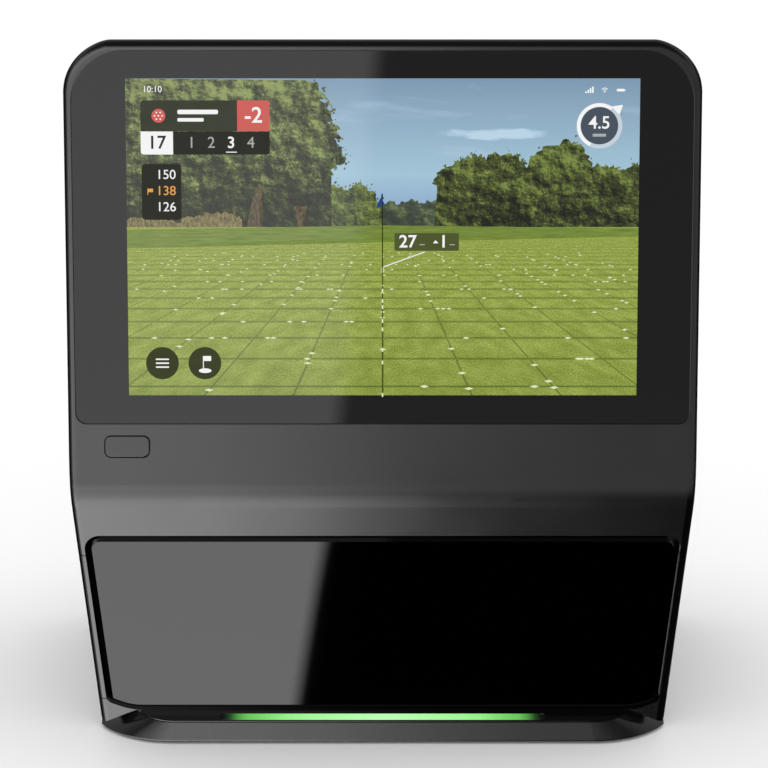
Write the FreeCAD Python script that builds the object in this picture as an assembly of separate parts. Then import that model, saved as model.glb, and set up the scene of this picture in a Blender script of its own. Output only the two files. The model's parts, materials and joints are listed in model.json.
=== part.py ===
import FreeCAD, Part
import math
import os
from FreeCAD import Vector as V

# Free-standing golf launch monitor: a wedge-shaped case with a leaning touch screen above
# an undercut camera window, standing on a shallow foot with a light strip in its ledge.
# Millimetres. +Z up, the screen faces -Y, +X to the right of a person facing the screen.
# Origin: on the ground, in the middle of the footprint.

# ---- overall ----------------------------------------
half_width = 135.0          # case half width above the taper
half_depth = 81.7           # front nose to rear nose, from the origin
screen_lean = 10.0          # screen leans back from vertical, degrees
undercut_lean = 10.0        # camera window leans forward from vertical, degrees
screen_center_z = 230.0     # height of the middle of the picture
nose_z = 119.3              # height of the sharp corner between screen face and window face
top_reach = 85.2            # sharp top edge above the picture's middle, along the screen
top_setback = 42.2          # rear edge of the top face, behind its front edge
top_drop = 20.6             # rear edge of the top face, below its front edge
rear_lean = 25.0            # upper rear face leans forward from vertical, degrees
rear_undercut = 9.85        # lower rear face, degrees
rear_nose_z = 107.0         # height of the rear nose
ground_gap = 1.6            # underside of the case above the ground
taper_start_z = 122.8       # the sides run inwards below this height
taper_angle = 4.41          # degrees per side
# ---- blends ----------------------------------------
nose_radius = 30.0
rear_nose_radius = 24.0
top_front_radius = 4.0
top_rear_radius = 30.0
rear_bottom_radius = 6.0
top_corner_radius = 24.5
taper_blend_radius = 300.0
edge_radius = 3.6
crown_spare = 0.4           # corner rounding ends this much above the top edge
# ---- walls, splits and clearances ----------------------------------------
wall = 2.5
screen_wall = 5.0
window_wall = 5.5
floor_wall = 2.5
parting_depth = 24.0        # front housing depth behind the screen and window faces
reveal = 0.6                # groove between the two housings
base_split_z = 15.0         # top of the base tray
bezel_split_z = 89.6        # seam between front housing and lower bezel
seam = 0.4                  # groove at the horizontal seams
fit = 0.3                   # clearance round a fixed piece in its opening
slip = 0.1                  # clearance of a sliding face
running = 0.06              # radial clearance of a shaft in its hole
# ---- display ----------------------------------------
glass_half_width = 131.2
glass_bottom = -80.1        # from the picture's middle, along the screen
glass_top = 79.3
glass_top_radius = 21.7
glass_bottom_radius = 4.5
glass_thick = 1.8
glass_gap = 0.5
adhesive = 0.5
picture_width = 216.96
picture_height = 135.6
panel_border = 6.0
panel_thick = 1.6
backlight_thick = 3.4
bracket_thick = 1.2
bracket_border = 9.6
bracket_bar = 46.0
# ---- power button ----------------------------------------
button_width = 19.0
button_height = 9.1
button_radius = 2.6
button_x = -109.6
button_v = -90.3
button_travel = 0.8
button_gap = 0.4
button_flange = 1.6
button_flange_thick = 1.2
button_stem = 1.3           # below the flange
switch_height = 4.3
switch_size = 6.0
plunger_radius = 1.7
plunger_reach = 0.8
# ---- camera window ----------------------------------------
window_bevel = 2.8
window_strip = 3.3          # bezel left beside the window
window_top = 22.9           # face edge below the nose corner, along the window face
window_thick = 4.0
window_top_radius = 6.5
window_side_radius = 4.0    # where each side meets the rise
window_bottom_radius = 25.0
window_rise = 4.4           # the bottom edge rises this much towards each side
window_rise_run = 10.5      # over this length
window_flange = 6.0
# ---- foot, ledge and lip ----------------------------------------
ledge_z = 9.0
ledge_depth = 13.2
ledge_half_width = 110.9
ledge_radius = 19.0
lip_setback = 2.4           # front of the lip behind the front nose
lip_radius = 38.0
lip_wall = 0.3              # how far the sloping lip face overhangs the front wall's foot
lip_side_wall = 6.0         # the rounded plan is this much wider than the case per side
groove_width = 0.6
groove_inset = 1.0
strip_half_width = 72.0
strip_depth = 6.2
strip_setback = 7.1         # middle of the strip in front of the window face
strip_thick = 2.0
strip_board_thick = 1.0
# ---- cameras ----------------------------------------
camera_spacing = 74.0
camera_v = -66.0
camera_barrel_radius = 9.0
camera_lens_radius = 6.6
camera_front = 9.0
camera_length = 20.0
camera_board = 28.0
rail_height = 44.0
rail_thick = 2.0
rail_flange = 10.0
rail_half_length = 112.0
emitter_x = 37.0
emitter_size = 30.0
board_thick = 1.6
# ---- inner structure ----------------------------------------
chassis_thick = 2.0
chassis_y = -8.0
chassis_top = 205.0
chassis_half_width = 112.0
chassis_plate_front = -12.0
chassis_plate_rear = 58.0
chassis_posts = [(104.0, 2.0), (48.0, 46.0)]
chassis_gap = 10.0          # tray floor to chassis plate
main_board_width = 150.0
main_board_height = 92.0
main_board_z = 104.0
standoff = 6.0
# Parts on the main board: x, height above its lower edge, width, height, thickness.
main_board_parts = [(-50, 66, 12, 10, 1.4), (-50, 48, 12, 10, 1.4), (52, 70, 16, 12, 2.2),
                    (56, 20, 20, 8, 5.0), (-56, 16, 24, 6, 4.0), (0, 6, 30, 5, 4.2),
                    (44, 46, 8, 8, 3.0), (62, 46, 6, 12, 3.5)]
heat_sink_width = 70.0
heat_sink_height = 60.0
heat_sink_base = 3.0
heat_sink_fin = 13.0
heat_sink_fins = 12
chip_size = 24.0
chip_thick = 2.4
# ---- fan, vent and handle on the rear slope ----------------------------------------
fan_size = 60.0
fan_thick = 15.0
fan_z = 138.0
fan_inset = 7.0
fan_blades = 7
fan_hub_radius = 12.0
vent_width = 150.0
vent_height = 56.0
vent_slots = 9
vent_slot_height = 3.0
vent_frame = 4.0
vent_thick = 2.0
handle_z = 236.0
handle_width = 124.0
handle_height = 54.0
handle_depth = 36.0
handle_radius = 6.0
tub_wall = 2.0
bar_height = 15.0
bar_thick = 8.0
grip_thick = 2.5
grip_length = 104.0
bar_v = 10.0
bar_inset = 3.5
# ---- power, sound and ports ----------------------------------------
cell_radius = 9.2
cell_length = 65.0
cell_gap = 0.6
battery_y = 15.0
strap_width = 18.0
strap_thick = 1.2
strap_foot = 4.0           # height of the strap's ends above the tray's floor
# Board and chips on the cells: middle x and y, size across, size along y, low and high level.
battery_board_parts = [(39, 0, 46, 28, 0.0, board_thick), (26, 0, 8, 12, 1.0, 3.4),
                       (39, -7, 6, 6, 1.0, 3.0), (53, 6, 10, 8, 1.0, 6.0)]
speaker_size = 40.0
speaker_depth = 24.0
speaker_x = 96.0
speaker_z = 58.0
speaker_y = 60.0
speaker_slots = 6
speaker_slot_length = 30.0
speaker_slot_height = 2.4
speaker_slot_margin = 8.0   # slots stop this much short of the speaker's height
port_z = 46.0
port_width = 96.0
port_height = 26.0
port_depth = 8.0
port_board_depth = 20.0
port_board_top = -6.5       # below the middle of the port bay
port_places = {"power_jack": -32.0, "hdmi_socket": -6.0, "usb_c_socket": 20.0}
socket_sizes = {"power_jack": (11.0, 11.0), "hdmi_socket": (15.2, 6.4), "usb_c_socket": (9.4, 3.6)}
socket_front = -port_depth + 0.6
port_spare_x = 36.0
port_spare_radius = 3.3
jack_bore_radius = 3.2
jack_pin_radius = 1.05
# ---- antennas ----------------------------------------
antenna_low = 225.0
antenna_height = 34.0
antenna_width = 12.0
antenna_setback = 10.0      # behind the parting surface
antenna_clip = 6.0
# ---- feet ----------------------------------------
foot_x = 95.0
foot_y = 50.0
foot_stem_radius = 4.0
foot_stem_flat = 3.0
foot_stem_top = 24.0
foot_pad_radius = 10.0
wheel_radius = 17.0
wheel_thick = 5.0
wheel_boss = 2.0
wheel_ridges = 24
front_foot_x = 98.0
front_foot_y = -60.0
front_foot_radius = 9.0
intake_slots = 7            # air slots through the floor
intake_pitch = 14.0
intake_slot_width = 6.0
intake_slot_length = 30.0
# ---- screws ----------------------------------------
screw_radius = 1.4
screw_head_radius = 2.6
screw_head_thick = 1.8
boss_radius = 4.2
well_radius = 3.0
screw_seat = 5.0            # screw head behind the parting surface
screw_bite = 11.0           # screw hole in front of it
pilot = 0.05                # radial room of a screw in its pilot hole
screw_pass = 0.2            # radial room of a case screw in a through hole
small_pass = 0.1            # the same for a small screw
base_boss_height = 16.0     # bosses above the base tray's seam
base_pilot_depth = 13.0
base_seat_floor = 1.5       # under the base screws' heads
base_rear_inset = 18.0      # rear base screws in front of the rear wall
base_front_inset = 6.0      # front base screws behind the window wall
display_boss_radius = 3.2
display_boss_heights = (-60.0, -20.0, 20.0, 60.0)
button_post_radius = 2.2
case_screw_heights = [272.0, 200.0, 108.0]
small_screw_radius = 1.0
small_head_radius = 1.9
small_head_thick = 1.2

big = 400.0


# ---- outline helpers ----------------------------------------
def rounded_wire(corners):
    """Closed wire in the XY plane through corners (x, y, radius)."""
    points = [V(x, y, 0) for x, y, radius in corners]
    count = len(points)
    arcs = []
    for i, (x, y, radius) in enumerate(corners):
        here = points[i]
        back = (points[i - 1] - here).normalize()
        ahead = (points[(i + 1) % count] - here).normalize()
        half = back.getAngle(ahead) / 2
        reach = radius / math.tan(half)
        middle = here + (back + ahead).normalize() * (radius / math.sin(half) - radius)
        arcs.append((here + back * reach, middle, here + ahead * reach, radius))
    edges = []
    for i, (start, middle, end, radius) in enumerate(arcs):
        if radius > 0:
            edges.append(Part.Arc(start, middle, end).toShape())
        following = arcs[(i + 1) % count][0]
        if end.distanceToPoint(following) > 1e-6:
            edges.append(Part.LineSegment(end, following).toShape())
    return Part.Wire(edges)


def inset(corners, distances):
    """Move the sides of an anticlockwise outline inwards; side i leaves corner i."""
    count = len(corners)
    if not isinstance(distances, (list, tuple)):
        distances = [distances] * count
    lines = []
    for i in range(count):
        x, y = corners[i][:2]
        dx = corners[(i + 1) % count][0] - x
        dy = corners[(i + 1) % count][1] - y
        length = math.hypot(dx, dy)
        nx, ny = -dy / length, dx / length
        lines.append((nx, ny, nx * x + ny * y + distances[i]))
    moved = []
    for i in range(count):
        a1, b1, c1 = lines[i - 1]
        a2, b2, c2 = lines[i]
        det = a1 * b2 - a2 * b1
        shrink = min(distances[i - 1], distances[i])
        radius = corners[i][2]
        if radius > 0:
            radius = max(radius - shrink, 0.3)
        moved.append(((c1 * b2 - c2 * b1) / det, (a1 * c2 - a2 * c1) / det, radius))
    return moved


def plate(corners, low, high):
    """Solid between two levels on a rounded outline in the XY plane."""
    wire = rounded_wire(corners)
    wire.translate(V(0, 0, low))
    return Part.Face(wire).extrude(V(0, 0, high - low))


def rectangle(width, height, radius=0.0, x=0.0, y=0.0):
    """Corners of a rounded rectangle about (x, y), anticlockwise."""
    a, b = width / 2, height / 2
    return [(x - a, y - b, radius), (x + a, y - b, radius),
            (x + a, y + b, radius), (x - a, y + b, radius)]


def box(x0, x1, y0, y1, z0, z1):
    return Part.makeBox(x1 - x0, y1 - y0, z1 - z0, V(x0, y0, z0))


def rod(radius, x, y, low, high):
    """Upright cylinder in the frame it is built in."""
    return Part.makeCylinder(radius, high - low, V(x, y, low))


def fuse(shapes):
    shapes = list(shapes)
    if len(shapes) == 1:
        return shapes[0]
    return shapes[0].multiFuse(shapes[1:]).removeSplitter()


def cut(shape, tools):
    return shape.cut(list(tools))


def placed(shape, placement):
    """The shape carried from a face's own frame into the object's frame."""
    moved = shape.copy()
    moved.Placement = placement.multiply(moved.Placement)
    return moved


def mirrored(shape):
    return shape.mirror(V(0, 0, 0), V(1, 0, 0))


def both_sides(shape):
    return [shape, mirrored(shape)]


# ---- frames of the faces ----------------------------------------
def face_frame(y, z, lean, rear=False):
    """X across, Y up the face, Z out of it; a positive lean tips the face back."""
    turn = FreeCAD.Rotation(V(1, 0, 0), 90 - lean)
    if rear:
        turn = FreeCAD.Rotation(V(0, 0, 1), 180).multiply(turn)
    return FreeCAD.Placement(V(0, y, z), turn)


def tan(angle):
    return math.tan(math.radians(angle))


def sin(angle):
    return math.sin(math.radians(angle))


def cos(angle):
    return math.cos(math.radians(angle))


# The rounding of the front nose makes it this much shorter than its sharp corner.
nose_round = nose_radius * (1 / cos((screen_lean + undercut_lean) / 2) - 1)
nose_y = -half_depth - nose_round
screen_center_y = nose_y + (screen_center_z - nose_z) * tan(screen_lean)
top_y = screen_center_y + top_reach * sin(screen_lean)
top_z = screen_center_z + top_reach * cos(screen_lean)


def screen_y(z):
    return screen_center_y + (z - screen_center_z) * tan(screen_lean)


def window_y(z):
    return nose_y + (nose_z - z) * tan(undercut_lean)


def side_x(z):
    """Half width of the case at a height, before blends."""
    return half_width - max(taper_start_z - z, 0.0) * tan(taper_angle)


def tangent_corner(center, radius, first, second):
    """Where two tangents of a circle meet; their outward directions are angles."""
    a1, b1 = cos(first), sin(first)
    a2, b2 = cos(second), sin(second)
    c1 = a1 * center[0] + b1 * center[1] + radius
    c2 = a2 * center[0] + b2 * center[1] + radius
    det = a1 * b2 - a2 * b1
    return (c1 * b2 - c2 * b1) / det, (a1 * c2 - a2 * c1) / det


rear_nose = tangent_corner((half_depth - rear_nose_radius, rear_nose_z), rear_nose_radius,
                           rear_lean, -rear_undercut)


def rear_slope_y(z):
    return rear_nose[0] - (z - rear_nose[1]) * tan(rear_lean)


def rear_lower_y(z):
    return rear_nose[0] - (rear_nose[1] - z) * tan(rear_undercut)


# The top face runs back at its own slope until it meets the upper rear face.
top_slope = top_drop / top_setback
top_rear_y = ((rear_nose[1] + rear_nose[0] / tan(rear_lean)) - (top_z + top_slope * top_y))
top_rear_y = top_rear_y / (1 / tan(rear_lean) - top_slope)
top_rear_z = top_z - top_slope * (top_rear_y - top_y)

SCREEN = face_frame(screen_center_y, screen_center_z, screen_lean)
WINDOW = face_frame(nose_y, nose_z, -undercut_lean)
HANDLE = face_frame(rear_slope_y(handle_z), handle_z, rear_lean, rear=True)
VENT = face_frame(rear_slope_y(fan_z), fan_z, rear_lean, rear=True)
PORTS = face_frame(rear_lower_y(port_z), port_z, -rear_undercut, rear=True)
ACROSS = FreeCAD.Placement(V(0, 0, 0), FreeCAD.Rotation(V(1, 1, 1), 120))
FRONTAL = face_frame(0, 0, 0)


# ---- case envelope ----------------------------------------
def side_profile():
    """Side view outline (y, z, radius), anticlockwise from the front bottom corner."""
    return [(window_y(ground_gap), ground_gap, 0.0),
            (rear_lower_y(ground_gap), ground_gap, rear_bottom_radius),
            (rear_nose[0], rear_nose[1], rear_nose_radius),
            (top_rear_y, top_rear_z, top_rear_radius),
            (top_y, top_z, top_front_radius),
            (nose_y, nose_z, nose_radius)]


def front_outline():
    """Front view outline (x, z, radius), anticlockwise from the bottom left corner."""
    low = side_x(ground_gap)
    high = top_z + crown_spare
    return [(-low, ground_gap - 1, 0.0), (low, ground_gap - 1, 0.0),
            (half_width, taper_start_z, taper_blend_radius),
            (half_width, high, 0.0),
            (-half_width, high, 0.0),
            (-half_width, taper_start_z, taper_blend_radius)]


def crown(outline_inset):
    """Block with the rounded top corners, which run back and down with the top face."""
    high = top_z + crown_spare
    corners = [(-half_width, -high, 0.0), (half_width, -high, 0.0),
               (half_width, high, top_corner_radius), (-half_width, high, top_corner_radius)]
    outline = placed(Part.Face(rounded_wire(inset(corners, outline_inset))), FRONTAL)
    run = V(0, 2 * big, -2 * big * top_slope)
    outline.translate(V(0, top_y, 0) - run * 0.5)
    return outline.extrude(run)


def envelope(side_insets=0.0, outline_inset=0.0):
    side = inset(side_profile(), side_insets)
    front = inset(front_outline(), outline_inset)
    across = placed(plate(side, -big, big), ACROSS)
    frontal = placed(plate(front, -big, big), FRONTAL)
    return across.common(frontal).common(crown(outline_inset))


def is_rim(edge):
    """True for an edge between a side or corner face and the faces across the width."""
    a = edge.valueAt(edge.FirstParameter)
    b = edge.valueAt(edge.LastParameter)
    run = b - a
    if run.Length < 1e-6:
        return False
    along_x = abs(run.x) / run.Length > 0.999
    along_y = abs(run.y) / run.Length > 0.999
    at_base = max(a.z, b.z) < ground_gap + 0.01
    return not (along_x or (along_y and not at_base))


def outer_case():
    body = envelope()
    return body.makeFillet(edge_radius, [edge for edge in body.Edges if is_rim(edge)])


def cavity():
    return envelope([floor_wall, wall, wall, wall, screen_wall, window_wall], wall)


def front_zone(depth):
    """Everything in front of the parting surface, which follows the two front faces."""
    low, high = -50.0, 400.0
    corners = [(-big, low, 0.0),
               (window_y(low) + depth / cos(undercut_lean), low, 0.0),
               (nose_y + depth / cos(screen_lean), nose_z, nose_radius),
               (screen_y(high) + depth / cos(screen_lean), high, 0.0),
               (-big, high, 0.0)]
    return placed(plate(corners, -big, big), ACROSS)


def slab(low, high):
    return box(-big, big, -big, big, low, high)


# ---- openings in the faces ----------------------------------------
def glass_outline():
    width = glass_half_width
    return [(-width, glass_bottom, glass_bottom_radius), (width, glass_bottom, glass_bottom_radius),
            (width, glass_top, glass_top_radius), (-width, glass_top, glass_top_radius)]


def panel_outline(grow=0.0):
    return rectangle(picture_width + 2 * (panel_border + grow),
                     picture_height + 2 * (panel_border + grow), 1.0)


def window_outline(grow=0.0, grow_bottom=0.0):
    """The window's widest outline, in its own frame; its foot stands on the ledge."""
    bottom = -(nose_z - ledge_z) / cos(undercut_lean)
    top = -window_top + window_bevel
    margin = window_strip + fit
    low = side_x(ledge_z) - margin
    high = side_x(nose_z + top * cos(undercut_lean)) - margin
    flat = low - window_rise_run
    side = bottom + window_rise
    corners = [(-flat, bottom, window_bottom_radius), (flat, bottom, window_bottom_radius),
               (low, side, window_side_radius), (high, top, window_top_radius),
               (-high, top, window_top_radius), (-low, side, window_side_radius)]
    return inset(corners, [-grow_bottom, -grow_bottom, -grow, -grow, -grow, -grow_bottom])


def screen_cuts():
    depth = glass_thick + adhesive
    pocket = plate(inset(glass_outline(), -glass_gap), -depth, big)
    through = plate(panel_outline(fit), -screen_wall - 1, 1)
    return [placed(pocket, SCREEN), placed(through, SCREEN)]


def window_cuts():
    pocket = plate(window_outline(fit), -window_thick, 1)
    through = plate(window_outline(-window_flange, -window_flange), -window_wall - 1, 1)
    return [placed(pocket, WINDOW), placed(through, WINDOW)]


def button_outline(grow=0.0):
    return rectangle(button_width + 2 * grow, button_height + 2 * grow, button_radius + grow,
                     button_x, button_v)


# ---- screws ----------------------------------------
def screw(radius, head_radius, head_thick, length):
    """Pan head screw standing on the XY plane, shank down, with a cross recess."""
    head = Part.makeCylinder(head_radius, head_thick)
    head = head.makeFillet(head_thick * 0.45, [head.Edges[0]])
    shank = Part.makeCylinder(radius, length, V(0, 0, -length))
    slot = head_radius * 0.55
    recess = [box(-slot, slot, -0.25, 0.25, head_thick - 0.7, head_thick + 1),
              box(-0.25, 0.25, -slot, slot, head_thick - 0.7, head_thick + 1)]
    return cut(fuse([head, shank]), recess)


def screws_at(places, radius, head_radius, head_thick, length):
    """One group of equal screws; each place is a frame whose Z is the screw's head side."""
    one = screw(radius, head_radius, head_thick, length)
    return Part.makeCompound([placed(one, place) for place in places])


def upright(x, y, z, down=False):
    turn = FreeCAD.Rotation(V(1, 0, 0), 180 if down else 0)
    return FreeCAD.Placement(V(x, y, z), turn)


def rearward(x, y, z):
    return FreeCAD.Placement(V(x, y, z), FreeCAD.Rotation(V(1, 0, 0), -90))


def in_frame(frame, x, y, z, turn=0.0):
    local = FreeCAD.Placement(V(x, y, z), FreeCAD.Rotation(V(1, 0, 0), turn))
    return frame.multiply(local)


# ---- shells ----------------------------------------
def case_screw_x(z):
    return side_x(z) - wall - boss_radius + 1.0


def parting_y(z):
    front = screen_y(z) if z > nose_z else window_y(z)
    return front + parting_depth / cos(screen_lean)


def rear_wall_y(z):
    return rear_slope_y(z) if z > rear_nose[1] else rear_lower_y(z)


def y_rod(radius, x, z, front, rear):
    return Part.makeCylinder(radius, rear - front, V(x, front, z), V(0, 1, 0))


def front_bosses():
    """Screw bosses on the front housing, joined to its side walls."""
    bosses = []
    for z in case_screw_heights:
        bosses.append(y_rod(boss_radius, case_screw_x(z), z, parting_y(z) - 16, parting_y(z) + 2))
    return [shape for boss in bosses for shape in both_sides(boss)]


def rear_columns():
    """Screw columns on the rear housing, from the parting surface to the rear wall."""
    columns = []
    for z in case_screw_heights:
        columns.append(y_rod(boss_radius, case_screw_x(z), z, parting_y(z) - 2, rear_wall_y(z) + 2))
    return [shape for column in columns for shape in both_sides(column)]


def case_screw_bores(radius, front, rear):
    bores = []
    for z in case_screw_heights:
        start = parting_y(z)
        end = rear_wall_y(z) + 20 if rear is None else start + rear
        bores += both_sides(y_rod(radius, case_screw_x(z), z, start + front, end))
    return bores


def display_boss_places():
    x = picture_width / 2 + panel_border + bracket_border / 2 + fit
    return [(side * x, v) for side in (-1, 1) for v in display_boss_heights]


def bracket_level():
    return -glass_thick - panel_thick - backlight_thick


def button_post_places():
    reach = button_width / 2 + button_flange + button_post_radius + 1.0
    return [(button_x - reach, button_v), (button_x + reach, button_v)]


# From the wall inwards: the button's flange and stem, its travel, and the switch under it.
button_under = -screen_wall - slip
button_stem_level = button_under - button_flange_thick - button_stem
switch_level = button_stem_level - slip - button_travel
button_board_level = switch_level - switch_height


def front_housing(case, hollow):
    shell = cut(case, [hollow]).common(front_zone(parting_depth - reveal / 2))
    shell = shell.common(slab(bezel_split_z + seam / 2, big))
    bosses = fuse(front_bosses()).common(case)
    bosses = bosses.common(front_zone(parting_depth - reveal / 2))
    posts = []
    for x, v in display_boss_places():
        posts.append(placed(rod(display_boss_radius, x, v, bracket_level(), -screen_wall + 1), SCREEN))
    for x, v in button_post_places():
        posts.append(placed(rod(button_post_radius, x, v, button_board_level, -screen_wall + 1), SCREEN))
    body = fuse([shell, bosses] + posts)
    button_hole = placed(plate(button_outline(button_gap), -screen_wall - 1, 5), SCREEN)
    body = cut(body, screen_cuts() + window_cuts() + [button_hole])
    holes = []
    for x, v in display_boss_places():
        holes.append(placed(rod(small_screw_radius + pilot, x, v, bracket_level() - 1, -3.4), SCREEN))
    for x, v in button_post_places():
        holes.append(placed(rod(small_screw_radius + pilot, x, v, button_board_level - 1,
                                button_board_level + 5), SCREEN))
    holes += case_screw_bores(screw_radius + pilot, -screw_bite, screw_seat)
    return cut(body, holes)


def lower_bezel(case, hollow):
    shell = cut(case, [hollow]).common(front_zone(parting_depth - reveal / 2))
    shell = shell.common(slab(base_split_z + seam / 2, bezel_split_z - seam / 2))
    x = base_screw_x()
    y = base_screw_ys()[0]
    bosses = both_sides(rod(boss_radius, x, y, base_split_z + seam / 2, base_split_z + base_boss_height))
    inside = front_zone(parting_depth - reveal / 2).common(case)
    body = fuse([shell, fuse(bosses).common(inside)])
    body = cut(body, window_cuts())
    holes = both_sides(rod(screw_radius + pilot, x, y, base_split_z - 1, base_split_z + base_pilot_depth))
    return cut(body, holes)


def base_screw_x():
    return side_x(base_split_z) - wall - boss_radius + 0.8


def base_screw_seat():
    """Level of the base screws' heads, sunk into the tray's posts."""
    return ground_gap + floor_wall + base_seat_floor


def base_screw_ys():
    front = window_y(base_split_z) + window_wall + boss_radius + base_front_inset
    return [front, rear_lower_y(base_split_z) - base_rear_inset]


def rear_housing(case, hollow):
    shell = cut(case, [hollow]).cut(front_zone(parting_depth + reveal / 2))
    shell = shell.common(slab(base_split_z + seam / 2, big))
    columns = fuse(rear_columns()).common(case).cut(front_zone(parting_depth + reveal / 2))
    x = base_screw_x()
    y = base_screw_ys()[1]
    bosses = both_sides(rod(boss_radius, x, y, base_split_z + seam / 2, base_split_z + base_boss_height))
    body = fuse([shell, columns] + bosses)
    handle_hole = placed(plate(rectangle(handle_width + 2 * fit, handle_height + 2 * fit,
                                         handle_radius + fit), -20, 20), HANDLE)
    vent_hole = placed(plate(rectangle(vent_width + 2 * fit, vent_height + 2 * fit, 6.0 + fit),
                             -vent_thick - fit, 20), VENT)
    vent_inner = placed(plate(rectangle(vent_width - 2 * vent_frame, vent_height - 2 * vent_frame, 4.0),
                              -20, 20), VENT)
    port_hole = placed(plate(rectangle(port_width + 2 * fit, port_height + 2 * fit, 4.0 + fit),
                             -20, 20), PORTS)
    cuts = [handle_hole, vent_hole, vent_inner, port_hole]
    cuts += speaker_grille_slots()
    cuts += case_screw_bores(screw_radius + screw_pass, -3, screw_seat + 1)
    cuts += case_screw_bores(well_radius, screw_seat, None)
    cuts += both_sides(rod(screw_radius + pilot, x, y, base_split_z - 1, base_split_z + base_pilot_depth))
    return cut(body, cuts)


def speaker_grille_slots():
    """Short slots through the rear wall behind each speaker."""
    slots = []
    height = speaker_size - speaker_slot_margin
    half_length = speaker_slot_length / 2
    half_slot = speaker_slot_height / 2
    for k in range(speaker_slots):
        z = speaker_z - height / 2 + k * height / (speaker_slots - 1)
        slot = box(speaker_x - half_length, speaker_x + half_length, speaker_y + 2, half_depth + 10,
                   z - half_slot, z + half_slot)
        slots += both_sides(slot)
    return slots


def lip_front():
    return -half_depth + lip_setback


def lip_corners(half_width_here, front, radius):
    """Plan outline whose rear part lies inside the case."""
    return [(-half_width_here, 0, 0.0), (-half_width_here, front, radius),
            (half_width_here, front, radius), (half_width_here, 0, 0.0)]


def ledge_corners():
    return lip_corners(ledge_half_width, window_y(ledge_z) - ledge_depth, ledge_radius)


def lip_slope():
    """Everything under the face that slopes from the ledge's edge out to the foot."""
    foot = rounded_wire(lip_corners(side_x(ground_gap) + lip_side_wall, lip_front() - lip_wall,
                                    lip_radius))
    foot.translate(V(0, 0, ground_gap))
    edge = rounded_wire(ledge_corners())
    edge.translate(V(0, 0, ledge_z))
    return Part.makeLoft([foot, edge], True, True)


def lip():
    """The lip between the case's two sides, its corners rounded in plan."""
    half = side_x(ground_gap)
    plan = plate(lip_corners(half + lip_side_wall, lip_front(), lip_radius), ground_gap, base_split_z)
    plan = plan.common(box(-half, half, -big, 0, 0, base_split_z))
    return plan.common(lip_slope())


def ledge_strip_y():
    return window_y(ledge_z) - strip_setback


def base_tray(case, hollow):
    lower = case.common(slab(ground_gap - 5, base_split_z - seam / 2))
    body = cut(lower, [hollow])
    body = fuse([body, lip().cut(hollow)])
    edge = ledge_corners()
    outer = plate(inset(edge, groove_inset), ledge_z - groove_width, ledge_z + 1)
    inner = plate(inset(edge, groove_inset + groove_width), ledge_z - groove_width - 1, ledge_z + 2)
    groove = outer.cut(inner).common(box(-big, big, -big, window_y(ledge_z) - 0.5, 0, 20))
    y = ledge_strip_y()
    slot = plate(rectangle(2 * (strip_half_width + fit), strip_depth + 2 * slip, 2.0, 0, y),
                 ledge_z - strip_thick - strip_board_thick - 0.4, ledge_z + 5)
    posts = []
    holes = []
    floor = ground_gap + floor_wall
    for x, py in chassis_posts:
        posts += both_sides(rod(boss_radius, x, py, floor - 1, floor + chassis_gap))
        holes += both_sides(rod(screw_radius + pilot, x, py, floor, floor + chassis_gap + 1))
    x = base_screw_x()
    for py in base_screw_ys():
        posts += both_sides(rod(boss_radius, x, py, floor - 1, base_split_z - seam / 2))
        holes += both_sides(rod(screw_radius + screw_pass, x, py, 0, base_split_z + 2))
        holes += both_sides(rod(screw_head_radius + 0.4, x, py, 0, base_screw_seat()))
    seats = both_sides(rod(foot_stem_radius + 4, foot_x, foot_y, floor - 1, floor + wheel_boss))
    stem_holes = both_sides(rod(foot_stem_radius + 0.3, foot_x, foot_y, 0, 20))
    wheel_slots = both_sides(rod(wheel_radius + 0.8, foot_x, foot_y, floor + wheel_boss,
                                 base_split_z + 1))
    wheel_slots = [slot_.common(box(-big, big, rear_lower_y(0) - 8, big, 0, 50))
                   for slot_ in wheel_slots]
    intake = []
    for k in range(intake_slots):
        x = (k - (intake_slots - 1) / 2) * intake_pitch
        intake.append(box(x - intake_slot_width / 2, x + intake_slot_width / 2,
                          -intake_slot_length, 0, 0, floor + 1))
    body = fuse([body] + posts + seats)
    return cut(body, [groove, slot] + holes + stem_holes + wheel_slots + intake + window_cuts())


# ---- glass, screen and window ----------------------------------------
def cover_glass():
    return placed(plate(glass_outline(), -glass_thick, 0), SCREEN)


def screen_adhesive():
    outline = inset(glass_outline(), 0.6)
    ring = plate(outline, -glass_thick - adhesive, -glass_thick)
    hole = plate(panel_outline(0.4), -glass_thick - adhesive - 1, 0)
    return placed(ring.cut(hole), SCREEN)


def lcd_panel():
    return placed(plate(panel_outline(), -glass_thick - panel_thick, -glass_thick), SCREEN)


def backlight():
    top = -glass_thick - panel_thick
    return placed(plate(panel_outline(), top - backlight_thick, top), SCREEN)


def display_bracket():
    level = bracket_level()
    width = picture_width + 2 * (panel_border + bracket_border)
    height = picture_height + 2 * panel_border
    sheet = plate(rectangle(width, height, 4.0), level - bracket_thick, level)
    opening = (width - 3 * bracket_bar) / 2
    cuts = []
    for side in (-1, 1):
        x = side * (bracket_bar / 2 + opening / 2)
        cuts.append(plate(rectangle(opening, height - 50, 6.0, x), level - 5, level + 5))
    for x, v in display_boss_places():
        cuts.append(rod(small_screw_radius + small_pass, x, v, level - 5, level + 5))
    return placed(cut(sheet, cuts), SCREEN)


def display_board():
    level = bracket_level() - bracket_thick
    board = plate(rectangle(bracket_bar + 60, 34, 2.0, 0, -20), level - 2.0 - board_thick, level - 2.0)
    pads = []
    for side in (-1, 1):
        pads.append(rod(2.5, side * 16, -20, level - 2.0, level))
    chips = [plate(rectangle(14, 14, 0.5, -30, -20), level - 5.2, level - 3.6),
             plate(rectangle(10, 8, 0.5, 6, -14), level - 4.9, level - 3.6),
             plate(rectangle(22, 6, 0.5, 34, -24), level - 5.6, level - 3.6)]
    return placed(fuse([board] + pads + chips), SCREEN)


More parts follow.
